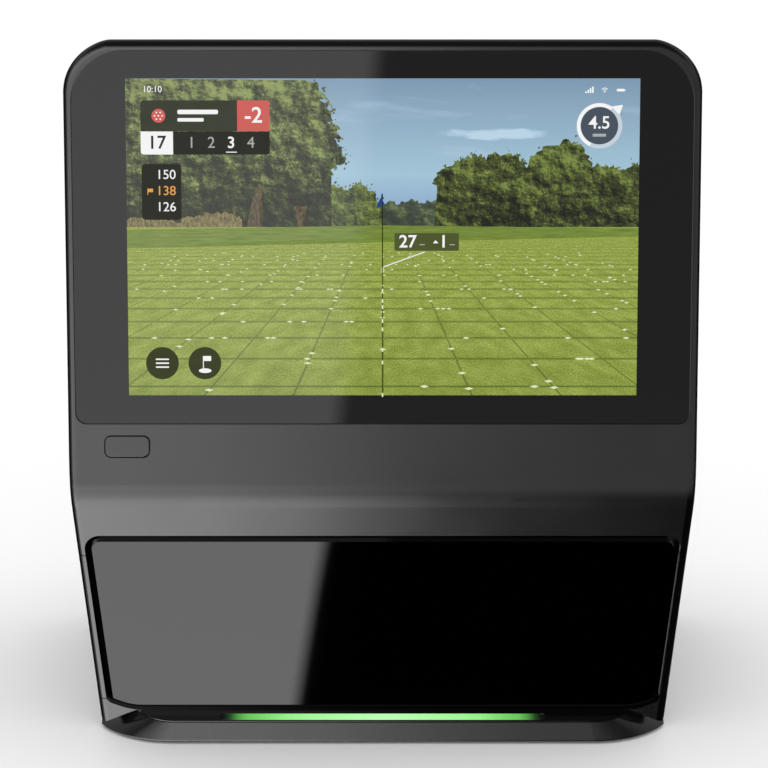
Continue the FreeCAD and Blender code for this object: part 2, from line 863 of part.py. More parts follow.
def window_pane():
    pane = plate(window_outline(), -window_thick, 0)
    rim = []
    bottom = window_outline()[0][1]
    for edge in pane.Edges:
        middle = edge.valueAt((edge.FirstParameter + edge.LastParameter) / 2)
        on_face = abs(middle.z) < 1e-4 and abs(edge.Vertexes[0].Z) < 1e-4
        if on_face and abs(edge.Vertexes[-1].Z) < 1e-4 and middle.y > bottom + 0.05:
            rim.append(edge)
    return placed(pane.makeChamfer(window_bevel, rim), WINDOW)


# ---- power button ----------------------------------------
def power_button():
    cap = plate(button_outline(), button_under, 0)
    cap = cap.makeFillet(0.35, [edge for edge in cap.Edges if edge.BoundBox.ZMin > -0.01])
    flange = plate(button_outline(button_flange), button_under - button_flange_thick, button_under)
    stem = rod(button_post_radius, button_x, button_v, button_stem_level, button_under)
    return placed(fuse([cap, flange, stem]), SCREEN)


def button_switch():
    body = plate(rectangle(switch_size, switch_size, 0.4, button_x, button_v),
                 button_board_level, switch_level - plunger_reach)
    plunger = rod(plunger_radius, button_x, button_v, switch_level - plunger_reach - 0.4, switch_level)
    return placed(fuse([body, plunger]), SCREEN)


def button_board():
    places = button_post_places()
    width = places[1][0] - places[0][0] + 6
    board = plate(rectangle(width, 12, 2.0, button_x, button_v),
                  button_board_level - board_thick, button_board_level)
    holes = [rod(small_screw_radius + small_pass, x, v, button_board_level - 5, button_board_level + 5)
             for x, v in places]
    return placed(cut(board, holes), SCREEN)


# ---- light strip ----------------------------------------
def light_strip():
    y = ledge_strip_y()
    return plate(rectangle(2 * strip_half_width, strip_depth, 2.0, 0, y),
                 ledge_z - strip_thick, ledge_z)


def light_strip_board():
    y = ledge_strip_y()
    top = ledge_z - strip_thick - 0.3
    board = box(-strip_half_width + 2, strip_half_width - 2, y - 2, y + 2,
                top - strip_board_thick, top - 0.4)
    lamps = []
    for k in range(12):
        x = -strip_half_width + 8 + k * (2 * strip_half_width - 16) / 11
        lamps.append(box(x - 1.5, x + 1.5, y - 1.2, y + 1.2, top - 0.5, top))
    return fuse([board] + lamps)


# ---- cameras and emitters ----------------------------------------
rail_level = -camera_front - camera_length


def camera_rail():
    low = camera_v - rail_height / 2
    high = camera_v + rail_height / 2
    web = box(-rail_half_length, rail_half_length, low, high, rail_level - rail_thick, rail_level)
    flanges = [box(-rail_half_length + 8, rail_half_length - 8, low, low + rail_thick,
                   rail_level - rail_flange, rail_level),
               box(-rail_half_length + 8, rail_half_length - 8, high - rail_thick, high,
                   rail_level - rail_flange, rail_level)]
    cuts = []
    for x in (-camera_spacing, 0, camera_spacing):
        cuts.append(rod(camera_barrel_radius - 3, x, camera_v, rail_level - 5, rail_level + 1))
    for x in (-emitter_x, emitter_x):
        cuts.append(plate(rectangle(14, 20, 2.0, x, camera_v), rail_level - 5, rail_level + 1))
    return placed(cut(fuse([web] + flanges), cuts), WINDOW)


def camera_barrel(x):
    tube = rod(camera_barrel_radius, x, camera_v, rail_level, -camera_front)
    ring = rod(camera_barrel_radius + 1.6, x, camera_v, rail_level, rail_level + 4)
    ridges = []
    for k in range(3):
        z = -camera_front - 3 - 2.2 * k
        ridges.append(rod(camera_barrel_radius + 0.5, x, camera_v, z - 0.6, z + 0.6))
    bore = rod(camera_lens_radius, x, camera_v, -camera_front - 5, 0)
    core = rod(camera_barrel_radius - 3.5, x, camera_v, rail_level - 1, -camera_front)
    return placed(cut(fuse([tube, ring] + ridges), [bore, core]), WINDOW)


def camera_lens(x):
    disc = rod(camera_lens_radius, x, camera_v, -camera_front - 5, -camera_front - 2.2)
    dome_radius = 14.0
    dome = Part.makeSphere(dome_radius, V(x, camera_v, -camera_front - 0.6 - dome_radius))
    dome = dome.common(rod(camera_lens_radius, x, camera_v, -camera_front - 4, -camera_front))
    return placed(fuse([disc, dome]), WINDOW)


def camera_circuit(x):
    top = rail_level - rail_thick
    size = camera_board
    board = plate(rectangle(size, size, 2.0, x, camera_v), top - 1.2 - board_thick, top - 1.2)
    sensor = plate(rectangle(8, 8, 0.3, x, camera_v), top - 1.2, top + 0.6)
    spacers = [rod(2.0, x + a * 10.5, camera_v + b * 10.5, top - 1.2, top)
               for a in (-1, 1) for b in (-1, 1)]
    plug = plate(rectangle(12, 4, 0.4, x, camera_v - 8), top - 4.6, top - 1.2 - board_thick)
    return placed(fuse([board, sensor, plug] + spacers), WINDOW)


def emitter_board(x):
    level = rail_level + 1.0
    size = emitter_size
    board = plate(rectangle(size, size, 2.0, x, camera_v), level, level + board_thick)
    feet = [rod(2.0, x + a * 12, camera_v + b * 12, rail_level, level)
            for a in (-1, 1) for b in (-1, 1)]
    lamps = [plate(rectangle(3.4, 3.4, 0.3, x + a * 7.5, camera_v + b * 7.5),
                   level + board_thick, level + board_thick + 1.6)
             for a in (-1, 0, 1) for b in (-1, 0, 1)]
    return placed(fuse([board] + feet + lamps), WINDOW)


def emitter_reflector(x):
    """Grid of conical cups over the lamps."""
    low = rail_level + 1.0 + board_thick
    high = low + 6.0
    block = plate(rectangle(emitter_size - 2, emitter_size - 2, 2.0, x, camera_v), low, high)
    cups = []
    for a in (-1, 0, 1):
        for b in (-1, 0, 1):
            cups.append(Part.makeCone(2.6, 3.6, high - low + 0.2,
                                      V(x + a * 7.5, camera_v + b * 7.5, low - 0.1)))
    return placed(cut(block, cups), WINDOW)


def emitter_reflectors():
    return Part.makeCompound([emitter_reflector(side * emitter_x) for side in (-1, 1)])


# ---- chassis and boards ----------------------------------------
def chassis_level():
    return ground_gap + floor_wall + chassis_gap


def chassis_cheek():
    """Side cheek that carries one end of the camera rail."""
    back_low = WINDOW.multVec(V(0, camera_v - rail_height / 2, rail_level - rail_thick))
    back_high = WINDOW.multVec(V(0, camera_v + rail_height / 2, rail_level - rail_thick))
    front = chassis_y - chassis_thick
    corners = [(front, chassis_level(), 0.0), (front, back_high.z + 25, 0.0),
               (back_high.y, back_high.z, 0.0), (back_low.y, back_low.z, 0.0),
               (front - 12, chassis_level(), 0.0)]
    cheek = plate(corners, rail_half_length - 6, rail_half_length - 6 + chassis_thick)
    return placed(cheek, ACROSS)


def main_standoffs():
    x = main_board_width / 2 - 5
    low = main_board_z + 5
    high = main_board_z + main_board_height - 5
    return [(side * x, z) for side in (-1, 1) for z in (low, high)]


def chassis():
    level = chassis_level()
    back = chassis_y
    upright_plate = box(-chassis_half_width, chassis_half_width, back - chassis_thick, back,
                        level, chassis_top)
    base = box(-chassis_half_width, chassis_half_width, chassis_plate_front, chassis_plate_rear,
               level, level + chassis_thick)
    pillars = [y_rod(3.0, x, z, back - 1, back + standoff) for x, z in main_standoffs()]
    cuts = []
    for x, y in chassis_posts:
        cuts += both_sides(rod(screw_radius + screw_pass, x, y, 0, level + 5))
    for x, z in main_standoffs():
        cuts.append(y_rod(small_screw_radius + pilot, x, z, back - 5, back + standoff + 1))
    cuts += [placed(plate(rectangle(70, 60, 8.0, 0, main_board_z + main_board_height / 2),
                          -back - 10, -back + 10), FRONTAL)]
    for side in (-1, 1):
        cuts.append(placed(plate(rectangle(24, 70, 8.0, side * 94, 110), -back - 10, -back + 10),
                           FRONTAL))
    keyed = rod(foot_stem_radius + slip, foot_x, foot_y, 0, level + 5)
    keyed = keyed.common(box(0, foot_x + foot_stem_flat + slip, -big, big, 0, big))
    cuts += both_sides(keyed)
    body = fuse([upright_plate, base] + both_sides(chassis_cheek()) + pillars)
    return cut(body, cuts)


def board_back():
    return chassis_y + standoff


def main_board():
    y = board_back()
    low, high = main_board_z, main_board_z + main_board_height
    board = box(-main_board_width / 2, main_board_width / 2, y, y + board_thick, low, high)
    parts = []
    for x, rise, w, h, t in main_board_parts:
        parts.append(box(x - w / 2, x + w / 2, y + board_thick, y + board_thick + t,
                         low + rise - h / 2, low + rise + h / 2))
    holes = [y_rod(small_screw_radius + small_pass, x, z, y - 1, y + 5) for x, z in main_standoffs()]
    return cut(fuse([board] + parts), holes)


def chip_z():
    return main_board_z + main_board_height / 2 + 2


def processor():
    y = board_back() + board_thick
    half = chip_size / 2
    return box(-half, half, y, y + chip_thick, chip_z() - half, chip_z() + half)


def heat_sink():
    y = board_back() + board_thick + chip_thick
    half = heat_sink_width / 2
    low, high = chip_z() - heat_sink_height / 2, chip_z() + heat_sink_height / 2
    base = box(-half, half, y, y + heat_sink_base, low, high)
    fins = []
    pitch = (heat_sink_width - 1.4) / (heat_sink_fins - 1)
    for k in range(heat_sink_fins):
        x = -half + k * pitch
        fins.append(box(x, x + 1.4, y, y + heat_sink_base + heat_sink_fin, low, high))
    return fuse([base] + fins)


# ---- fan and vent ----------------------------------------
def fan_frame():
    top = -fan_inset
    low = top - fan_thick
    block = plate(rectangle(fan_size, fan_size, 4.0), low, top)
    duct = rod(fan_size / 2 - 2, 0, 0, low - 1, top + 1)
    hub = rod(fan_hub_radius - 1, 0, 0, low, low + 2.4)
    arms = []
    for k in range(3):
        arm = box(0, fan_size / 2, -1.5, 1.5, low, low + 2.4)
        arm.rotate(V(0, 0, 0), V(0, 0, 1), 20 + 120 * k)
        arms.append(arm.common(rod(fan_size / 2, 0, 0, low - 1, top)))
    pin = rod(1.5, 0, 0, low, low + 8)
    holes = [rod(2.1, a * 25, b * 25, low - 1, top + 1) for a in (-1, 1) for b in (-1, 1)]
    return placed(cut(fuse([block.cut(duct), hub, pin] + arms), holes), VENT)


def fan_rotor():
    low = -fan_inset - fan_thick + 3.0
    high = -fan_inset - 1.0
    hub = rod(fan_hub_radius, 0, 0, low, high)
    tip = fan_size / 2 - 2.8
    blades = []
    for k in range(fan_blades):
        low_edge = Part.LineSegment(V(fan_hub_radius - 1, -4, low + 0.6), V(tip, -8, low + 0.6)).toShape()
        high_edge = Part.LineSegment(V(fan_hub_radius - 1, 4, high - 0.6), V(tip, 5, high - 0.6)).toShape()
        sheet = Part.makeRuledSurface(low_edge, high_edge)
        blade = sheet.extrude(V(0, 1.2, 0))
        blade.rotate(V(0, 0, 0), V(0, 0, 1), 360.0 * k / fan_blades)
        blades.append(blade.common(rod(tip, 0, 0, low - 1, high + 1)))
    bore = rod(1.5 + running, 0, 0, low - 1, low + 5.1 + slip)
    return placed(cut(fuse([hub] + blades), [bore]), VENT)


def vent_grille():
    frame = plate(rectangle(vent_width, vent_height, 6.0), -vent_thick, 0)
    pitch = (vent_height - 2 * vent_frame) / vent_slots
    cuts = []
    for k in range(vent_slots):
        v = -vent_height / 2 + vent_frame + pitch * (k + 0.5)
        for side in (-1, 1):
            length = vent_width / 2 - vent_frame - 3
            cuts.append(plate(rectangle(length, vent_slot_height, 1.4, side * (length / 2 + 1.5), v),
                              -vent_thick - 1, 1))
    return placed(cut(frame, cuts), VENT)


# ---- handle ----------------------------------------
def handle_tub():
    outer = plate(rectangle(handle_width, handle_height, handle_radius), -handle_depth, 0)
    flange = plate(rectangle(handle_width + 8, handle_height + 8, handle_radius + 4),
                   -wall - fit - 2, -wall - fit)
    inner = plate(rectangle(handle_width - 2 * tub_wall, handle_height - 2 * tub_wall,
                            handle_radius - tub_wall), -handle_depth + tub_wall, 5)
    return placed(fuse([outer, flange]).cut(inner), HANDLE)


def bar_section(grow):
    """Outline of the bar's cross-section, as (height, depth) from the bar's middle."""
    return rectangle(bar_thick + 2 * grow, bar_height + 2 * grow, bar_thick / 2 + grow - 0.3)


def bar_along(grow, half_length):
    frame = FreeCAD.Placement(V(0, bar_v, -bar_inset - grip_thick - bar_thick / 2),
                              FreeCAD.Rotation(V(0, 1, 0), 90))
    return placed(placed(plate(bar_section(grow), -half_length, half_length), frame), HANDLE)


def handle_bar():
    inner = handle_width / 2 - tub_wall
    collars = bar_along(grip_thick, inner).cut(bar_along(grip_thick + 5, grip_length / 2))
    return fuse([bar_along(0, inner), collars])


def handle_grip():
    return bar_along(grip_thick, grip_length / 2).cut(bar_along(0, big))


# ---- battery, speakers, ports ----------------------------------------
def battery_cells():
    level = chassis_level() + chassis_thick + tub_wall
    pitch = 2 * cell_radius + cell_gap
    cells = []
    for k in range(2):
        for row in range(2):
            for side in (-1, 1):
                x = -cell_length - 1 if side < 0 else 1
                center = V(x, battery_y + (k - 0.5) * pitch, level + cell_radius + row * pitch)
                cell = Part.makeCylinder(cell_radius, cell_length, center, V(1, 0, 0))
                cells.append(cell.makeFillet(0.8, [edge for edge in cell.Edges
                                                   if edge.Curve.TypeId == "Part::GeomCircle"]))
    return Part.makeCompound(cells)


def battery_size():
    """Half length, half depth and height of the cell block."""
    pitch = 2 * cell_radius + cell_gap
    return cell_length + 1.5, pitch / 2 + cell_radius + 0.3, pitch + 2 * cell_radius + 0.4


def battery_tray():
    level = chassis_level() + chassis_thick
    half, depth, height = battery_size()
    outer = box(-half - tub_wall, half + tub_wall, battery_y - depth - tub_wall,
                battery_y + depth + tub_wall, level, level + height * 0.62)
    inner = box(-half, half, battery_y - depth, battery_y + depth, level + tub_wall, big)
    return outer.cut(inner)


def battery_strap():
    level = chassis_level() + chassis_thick + tub_wall
    depth, height = battery_size()[1:]
    top = level + height
    front, back = battery_y - depth - tub_wall, battery_y + depth + tub_wall
    over = box(-strap_width / 2, strap_width / 2, front - strap_thick, back + strap_thick,
               level + strap_foot, top + strap_thick)
    return over.cut(box(-strap_width, strap_width, front, back, level, top))


def battery_circuit():
    level = chassis_level() + chassis_thick + tub_wall + battery_size()[2]
    parts = [box(x - w / 2, x + w / 2, battery_y + y - d / 2, battery_y + y + d / 2,
                 level + low, level + high)
             for x, y, w, d, low, high in battery_board_parts]
    return fuse(parts)


def speaker_enclosure():
    half = speaker_size / 2
    x, z = speaker_x, speaker_z
    block = box(x - half, x + half, speaker_y - speaker_depth, speaker_y, z - half, z + half)
    block = block.makeFillet(3.0, [edge for edge in block.Edges
                                   if abs(edge.tangentAt(edge.FirstParameter).y) > 0.9])
    hollow = box(x - half + 2, x + half - 2, speaker_y - speaker_depth + 2, speaker_y - 2,
                 z - half + 2, z + half - 2)
    mouth = y_rod(half - 4, x, z, speaker_y - 3, speaker_y + 1)
    foot = box(x - 8, x + 8, speaker_y - speaker_depth, speaker_y - speaker_depth + 10,
               chassis_level() + chassis_thick, z - half + 1)
    return cut(fuse([block, foot]), [hollow, mouth])


def speaker_cone():
    x, z = speaker_x, speaker_z
    rim = speaker_size / 2 - 4
    axis = V(0, 1, 0)
    outer = Part.makeCone(7, rim, 8, V(x, speaker_y - 10, z), axis)
    inner = Part.makeCone(6, rim - 1, 8, V(x, speaker_y - 9.2, z), axis)
    cap = Part.makeSphere(7.5, V(x, speaker_y - 13.0, z))
    cap = cap.common(y_rod(7, x, z, speaker_y - 10, speaker_y))
    magnet = y_rod(10, x, z, speaker_y - 20, speaker_y - 10)
    return fuse([outer.cut(inner), cap, magnet])


def port_panel():
    outer = plate(rectangle(port_width, port_height, 4.0), -port_depth - 2, 0)
    flange = plate(rectangle(port_width + 6, port_height + 6, 5.0), -wall - fit - 2, -wall - fit)
    inner = plate(rectangle(port_width - 4, port_height - 4, 2.5), -port_depth, 5)
    holes = []
    for name, x in port_places.items():
        w, h = socket_sizes[name]
        holes.append(box(x - w / 2 - fit, x + w / 2 + fit, port_board_top - fit,
                         port_board_top + h + fit, -port_depth - 5, 0))
    holes.append(rod(port_spare_radius, port_spare_x, 0, -port_depth - 5, 0))
    return placed(cut(fuse([outer, flange]), [inner] + holes), PORTS)


def port_board():
    top = port_board_top
    front = -port_depth - 2 - 0.5
    board = box(-port_width / 2 + 4, port_width / 2 - 4, top - board_thick, top,
                front - port_board_depth, front)
    chips = [box(-2, 8, top, top + 1.5, front - 17, front - 14),
             box(26, 34, top, top + 1.2, front - 17, front - 12)]
    return placed(fuse([board] + chips), PORTS)


def power_jack():
    w, h = socket_sizes["power_jack"]
    x = port_places["power_jack"]
    middle = port_board_top + h / 2
    front = socket_front
    block = box(x - w / 2, x + w / 2, port_board_top, port_board_top + h, front - 14.5, front)
    bore = rod(jack_bore_radius, x, middle, front - 10, front + 1)
    pin = rod(jack_pin_radius, x, middle, front - 11, front - 1)
    return placed(fuse([block.cut(bore), pin]), PORTS)


def hdmi_socket():
    w, h = socket_sizes["hdmi_socket"]
    x = port_places["hdmi_socket"]
    low = port_board_top
    front = socket_front
    shell = box(x - w / 2, x + w / 2, low, low + h, front - 13, front)
    mouth = [(x - 5.0, low + 0.9, 0.4), (x + 5.0, low + 0.9, 0.4), (x + 7.0, low + 2.8, 0.4),
             (x + 7.0, low + h - 0.6, 0.4), (x - 7.0, low + h - 0.6, 0.4), (x - 7.0, low + 2.8, 0.4)]
    hollow = plate(mouth, front - 9, front + 1)
    tongue = box(x - 5.4, x + 5.4, low + 2.9, low + 4.0, front - 10, front - 1)
    return placed(fuse([shell.cut(hollow), tongue]), PORTS)


def usb_c_socket():
    w, h = socket_sizes["usb_c_socket"]
    x = port_places["usb_c_socket"]
    low = port_board_top
    front = socket_front
    shell = plate(rectangle(w, h, 1.7, x, low + h / 2), front - 9, front)
    hollow = plate(rectangle(w - 0.7, h - 0.7, 1.4, x, low + h / 2), front - 7, front + 1)
    tongue = box(x - 3.3, x + 3.3, low + h / 2 - 0.35, low + h / 2 + 0.35, front - 8, front - 0.8)
    foot = box(x - 3, x + 3, low, low + 0.8, front - 9, front - 2)
    return placed(fuse([shell.cut(hollow), tongue, foot]), PORTS)


# ---- antennas and leads ----------------------------------------
def antenna():
    """Flat printed antenna standing against the inside of the upper side wall."""
    x = half_width - wall - 0.2
    y = parting_y(antenna_low) + antenna_setback
    middle = y + antenna_width / 2
    strip = box(x - 1.0, x, y, y + antenna_width, antenna_low, antenna_low + antenna_height)
    clip = box(x - 2.4, x - 1.0, middle - antenna_clip / 2, middle + antenna_clip / 2,
               antenna_low + 10, antenna_low + 10 + antenna_clip)
    return fuse([strip, clip])


# ---- feet ----------------------------------------
def level_wheel():
    low = ground_gap + floor_wall + wheel_boss + slip
    disc = rod(wheel_radius - 0.7, foot_x, foot_y, low, low + wheel_thick)
    ridges = []
    for k in range(wheel_ridges):
        angle = 360.0 * k / wheel_ridges
        ridges.append(rod(1.3, foot_x + (wheel_radius - 1.3) * cos(angle),
                          foot_y + (wheel_radius - 1.3) * sin(angle), low, low + wheel_thick))
    bore = rod(foot_stem_radius + running, foot_x, foot_y, 0, 50)
    return cut(fuse([disc] + ridges), [bore])


def level_foot():
    pad = rod(foot_pad_radius, foot_x, foot_y, 0, ground_gap - slip)
    pad = pad.makeFillet(0.8, [pad.Edges[2]])
    stem = rod(foot_stem_radius, foot_x, foot_y, 1, foot_stem_top)
    keyed = box(foot_x + foot_stem_flat, foot_x + 10, foot_y - 10, foot_y + 10,
                chassis_level() - 3, foot_stem_top + 1)
    return fuse([pad, stem]).cut(keyed)


def front_feet():
    pad = rod(front_foot_radius, front_foot_x, front_foot_y, 0, ground_gap)
    pad = pad.makeFillet(0.8, [pad.Edges[2]])
    return Part.makeCompound(both_sides(pad))


# ---- screw groups ----------------------------------------
def case_screws():
    """Screws through the rear housing's deep wells and up through the base tray."""
    rear_places = []
    for z in case_screw_heights:
        for side in (-1, 1):
            rear_places.append(rearward(side * case_screw_x(z), parting_y(z) + screw_seat, z))
    base_places = []
    for y in base_screw_ys():
        for side in (-1, 1):
            base_places.append(upright(side * base_screw_x(), y, base_screw_seat(), down=True))
    length = screw_seat + screw_bite - 2
    return Part.makeCompound([
        screws_at(rear_places, screw_radius, screw_head_radius, screw_head_thick, length),
        screws_at(base_places, screw_radius, screw_head_radius, screw_head_thick,
                  base_split_z + 10 - base_screw_seat())])


def inner_screws():
    """Screws of the chassis, the main board, the button board and the display bracket."""
    chassis_places = []
    for x, y in chassis_posts:
        for side in (-1, 1):
            chassis_places.append(upright(side * x, y, chassis_level() + chassis_thick))
    board_places = [rearward(x, board_back() + board_thick, z) for x, z in main_standoffs()]
    level = button_board_level - board_thick
    board_places += [in_frame(SCREEN, x, v, level, 180) for x, v in button_post_places()]
    level = bracket_level() - bracket_thick
    bracket_places = [in_frame(SCREEN, x, v, level, 180) for x, v in display_boss_places()]
    return Part.makeCompound([
        screws_at(chassis_places, screw_radius, screw_head_radius, screw_head_thick, 9),
        screws_at(board_places, small_screw_radius, small_head_radius, small_head_thick, 5.0),
        screws_at(bracket_places, small_screw_radius, small_head_radius, small_head_thick, 4.4)])


# ---- write every piece ----------------------------------------
def build():
    case = outer_case()
    hollow = cavity()
    pieces = {
        "front_housing": front_housing(case, hollow),
        "rear_housing": rear_housing(case, hollow),
        "lower_bezel": lower_bezel(case, hollow),
        "base_tray": base_tray(case, hollow),
        "display_cover_glass": cover_glass(),
        "display_adhesive": screen_adhesive(),
        "lcd_panel": lcd_panel(),
        "backlight_unit": backlight(),
        "display_bracket": display_bracket(),
        "display_board": display_board(),
        "camera_window": window_pane(),
        "emitter_reflectors": emitter_reflectors(),
        "power_button": power_button(),
        "button_switch": button_switch(),
        "button_board": button_board(),
        "light_strip": light_strip(),
        "light_strip_board": light_strip_board(),
        "camera_rail": camera_rail(),
        "chassis": chassis(),
        "main_board": main_board(),
        "processor": processor(),
        "heat_sink": heat_sink(),
        "fan_frame": fan_frame(),
        "fan_rotor": fan_rotor(),
        "vent_grille": vent_grille(),
        "handle_tub": handle_tub(),
        "handle_bar": handle_bar(),
        "handle_grip": handle_grip(),
        "battery_cells": battery_cells(),
        "battery_tray": battery_tray(),
        "battery_strap": battery_strap(),
        "battery_board": battery_circuit(),
        "port_panel": port_panel(),
        "port_board": port_board(),
        "power_jack": power_jack(),
        "hdmi_socket": hdmi_socket(),
        "usb_c_socket": usb_c_socket(),
        "front_feet": front_feet(),
        "case_screws": case_screws(),
        "inner_screws": inner_screws(),
        "wifi_antennas": Part.makeCompound(both_sides(antenna())),
    }
    for name, x in (("left", -camera_spacing), ("center", 0.0), ("right", camera_spacing)):
        pieces["camera_barrel_" + name] = camera_barrel(x)
        pieces["camera_lens_" + name] = camera_lens(x)
        pieces["camera_board_" + name] = camera_circuit(x)
    for name, x in (("left", -emitter_x), ("right", emitter_x)):
        pieces["emitter_board_" + name] = emitter_board(x)
    for part, shape in (("speaker_enclosure", speaker_enclosure()), ("speaker_driver", speaker_cone()),
                        ("level_wheel", level_wheel()), ("level_foot", level_foot())):
        pieces[part + "_right"] = shape
        pieces[part + "_left"] = mirrored(shape)
    return pieces


os.makedirs("parts", exist_ok=True)
for name, shape in build().items():
    shape.exportStep("parts/" + name + ".step")
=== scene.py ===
import json
import math
import random

import bmesh
import bpy
from mathutils import Matrix, Vector


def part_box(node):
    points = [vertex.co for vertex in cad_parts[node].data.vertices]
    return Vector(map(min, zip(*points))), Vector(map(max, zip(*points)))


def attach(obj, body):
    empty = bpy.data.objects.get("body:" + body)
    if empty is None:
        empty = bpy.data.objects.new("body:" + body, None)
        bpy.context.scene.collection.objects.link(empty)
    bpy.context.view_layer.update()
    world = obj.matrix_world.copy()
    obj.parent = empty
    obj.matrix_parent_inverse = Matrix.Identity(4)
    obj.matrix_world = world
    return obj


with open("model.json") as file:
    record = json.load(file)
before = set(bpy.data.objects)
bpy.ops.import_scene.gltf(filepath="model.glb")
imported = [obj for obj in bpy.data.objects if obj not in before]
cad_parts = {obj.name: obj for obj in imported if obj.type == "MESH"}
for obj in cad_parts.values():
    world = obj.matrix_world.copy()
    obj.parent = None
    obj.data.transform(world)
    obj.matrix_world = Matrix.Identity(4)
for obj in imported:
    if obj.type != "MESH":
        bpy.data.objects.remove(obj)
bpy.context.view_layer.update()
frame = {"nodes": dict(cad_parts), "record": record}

scene = bpy.context.scene
scene.view_settings.view_transform = "Standard"

# ---- sizes taken over from the frame, in metres ------------------------------------------
SCREEN_LEAN = math.radians(10.0)
PICTURE = Vector((0.21696, 0.1356))      # lit area, width and height
GLASS_THICK = 0.0018
PANEL_THICK = 0.0016

across = Vector((1, 0, 0))
up_screen = Vector((0, math.sin(SCREEN_LEAN), math.cos(SCREEN_LEAN)))
out_screen = Vector((0, -math.cos(SCREEN_LEAN), math.sin(SCREEN_LEAN)))

panel_low, panel_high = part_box("lcd_panel")
panel_middle = (panel_low + panel_high) / 2
picture_middle = panel_middle + out_screen * (GLASS_THICK + PANEL_THICK / 2)


def srgb(r, g, b):
    """Linear colour of an 8-bit display colour."""
    def one(c):
        c = c / 255
        return c / 12.92 if c <= 0.04045 else ((c + 0.055) / 1.055) ** 2.4
    return (one(r), one(g), one(b), 1.0)


# ---- node material helpers ------------------------------------------------------------------
GRAIN_TINT = 0.12             # how far plastic's grain is lighter or darker than its colour
GLOSS_CLOUD = 0.035           # how far plastic's roughness drifts
GLASS_IOR = 1.5


class Nodes:
    """Short calls for the nodes of one node tree."""

    def __init__(self, tree, coord):
        self.n = tree.nodes
        self.l = tree.links
        self.coord = self.n.new("ShaderNodeTexCoord").outputs[coord]

    def put(self, socket, value):
        if isinstance(value, bpy.types.NodeSocket):
            self.l.new(value, socket)
        else:
            socket.default_value = value

    def math(self, operation, a, b=0.0, c=0.0, clamp=False):
        node = self.n.new("ShaderNodeMath")
        node.operation = operation
        node.use_clamp = clamp
        self.put(node.inputs[0], a)
        self.put(node.inputs[1], b)
        self.put(node.inputs[2], c)
        return node.outputs[0]

    def mapping(self, scale=(1, 1, 1), location=(0, 0, 0), rotation=(0, 0, 0)):
        node = self.n.new("ShaderNodeMapping")
        self.put(node.inputs["Vector"], self.coord)
        node.inputs["Scale"].default_value = scale
        node.inputs["Location"].default_value = location
        node.inputs["Rotation"].default_value = rotation
        return node.outputs[0]

    def noise(self, scale, detail=3.0, vector=None, rough=0.55, distortion=0.0):
        node = self.n.new("ShaderNodeTexNoise")
        self.put(node.inputs["Vector"], vector or self.coord)
        node.inputs["Scale"].default_value = scale
        node.inputs["Detail"].default_value = detail
        node.inputs["Roughness"].default_value = rough
        node.inputs["Distortion"].default_value = distortion
        return node.outputs["Fac"]

    def voronoi(self, scale, feature="F1"):
        node = self.n.new("ShaderNodeTexVoronoi")
        node.feature = feature
        self.put(node.inputs["Vector"], self.coord)
        node.inputs["Scale"].default_value = scale
        return node.outputs["Distance"]

    def ramp(self, factor, stops):
        node = self.n.new("ShaderNodeValToRGB")
        self.put(node.inputs[0], factor)
        elements = node.color_ramp.elements
        while len(elements) < len(stops):
            elements.new(0.5)
        for element, (place, color) in zip(elements, stops):
            element.position = place
            element.color = color if hasattr(color, "__len__") else (color, color, color, 1)
        return node.outputs[0]

    def spread(self, factor, low, high):
        """Map 0..1 onto low..high."""
        return self.math("MULTIPLY_ADD", factor, high - low, low)

    def mix(self, factor, a, b):
        node = self.n.new("ShaderNodeMix")
        node.data_type = "RGBA"
        self.put(node.inputs["Factor"], factor)
        self.put(node.inputs["A"], a)
        self.put(node.inputs["B"], b)
        return node.outputs["Result"]

    def split(self):
        node = self.n.new("ShaderNodeSeparateXYZ")
        self.put(node.inputs[0], self.coord)
        return node.outputs

    def join(self, x, y):
        node = self.n.new("ShaderNodeCombineXYZ")
        self.put(node.inputs[0], x)
        self.put(node.inputs[1], y)
        return node.outputs[0]


class Mat(Nodes):
    """A node material round one Principled shader."""

    def __init__(self, name, coord="Object"):
        self.m = bpy.data.materials.new(name)
        self.m.use_nodes = True
        super().__init__(self.m.node_tree, coord)
        self.bsdf = self.n["Principled BSDF"]

    def set(self, **values):
        for key, value in values.items():
            self.put(self.bsdf.inputs[key.replace("_", " ")], value)

    def bump(self, height, distance, strength):
        node = self.n.new("ShaderNodeBump")
        node.inputs["Strength"].default_value = strength
        node.inputs["Distance"].default_value = distance
        self.put(node.inputs["Height"], height)
        self.put(self.bsdf.inputs["Normal"], node.outputs[0])


def shade(color, factor):
    """The colour made darker or lighter by a factor."""
    return [c * factor for c in color[:3]] + [1]


def moulded_plastic(name, color, rough=0.4, grain=1600.0, relief=0.00002, specular=0.5):
    """Spark-eroded plastic: fine grain, faint cloudy gloss and a few rub marks."""
    m = Mat(name)
    fine = m.noise(grain, 2.0)
    cloud = m.noise(28.0, 4.0)
    rub = m.noise(60.0, 6.0, m.mapping(scale=(1.0, 1.0, 9.0), rotation=(0.2, 0.3, 0.5)), 0.7)
    marks = m.ramp(rub, [(0.60, 0.0), (0.72, 1.0)])
    m.set(Base_Color=m.mix(fine, shade(color, 1 - GRAIN_TINT), shade(color, 1 + GRAIN_TINT)))
    gloss = m.spread(cloud, rough - GLOSS_CLOUD, rough + GLOSS_CLOUD)
    m.set(Roughness=m.math("MULTIPLY_ADD", marks, -0.04, gloss))
    m.set(Specular_IOR_Level=specular)
    m.bump(fine, relief, 0.6)
    return m.m


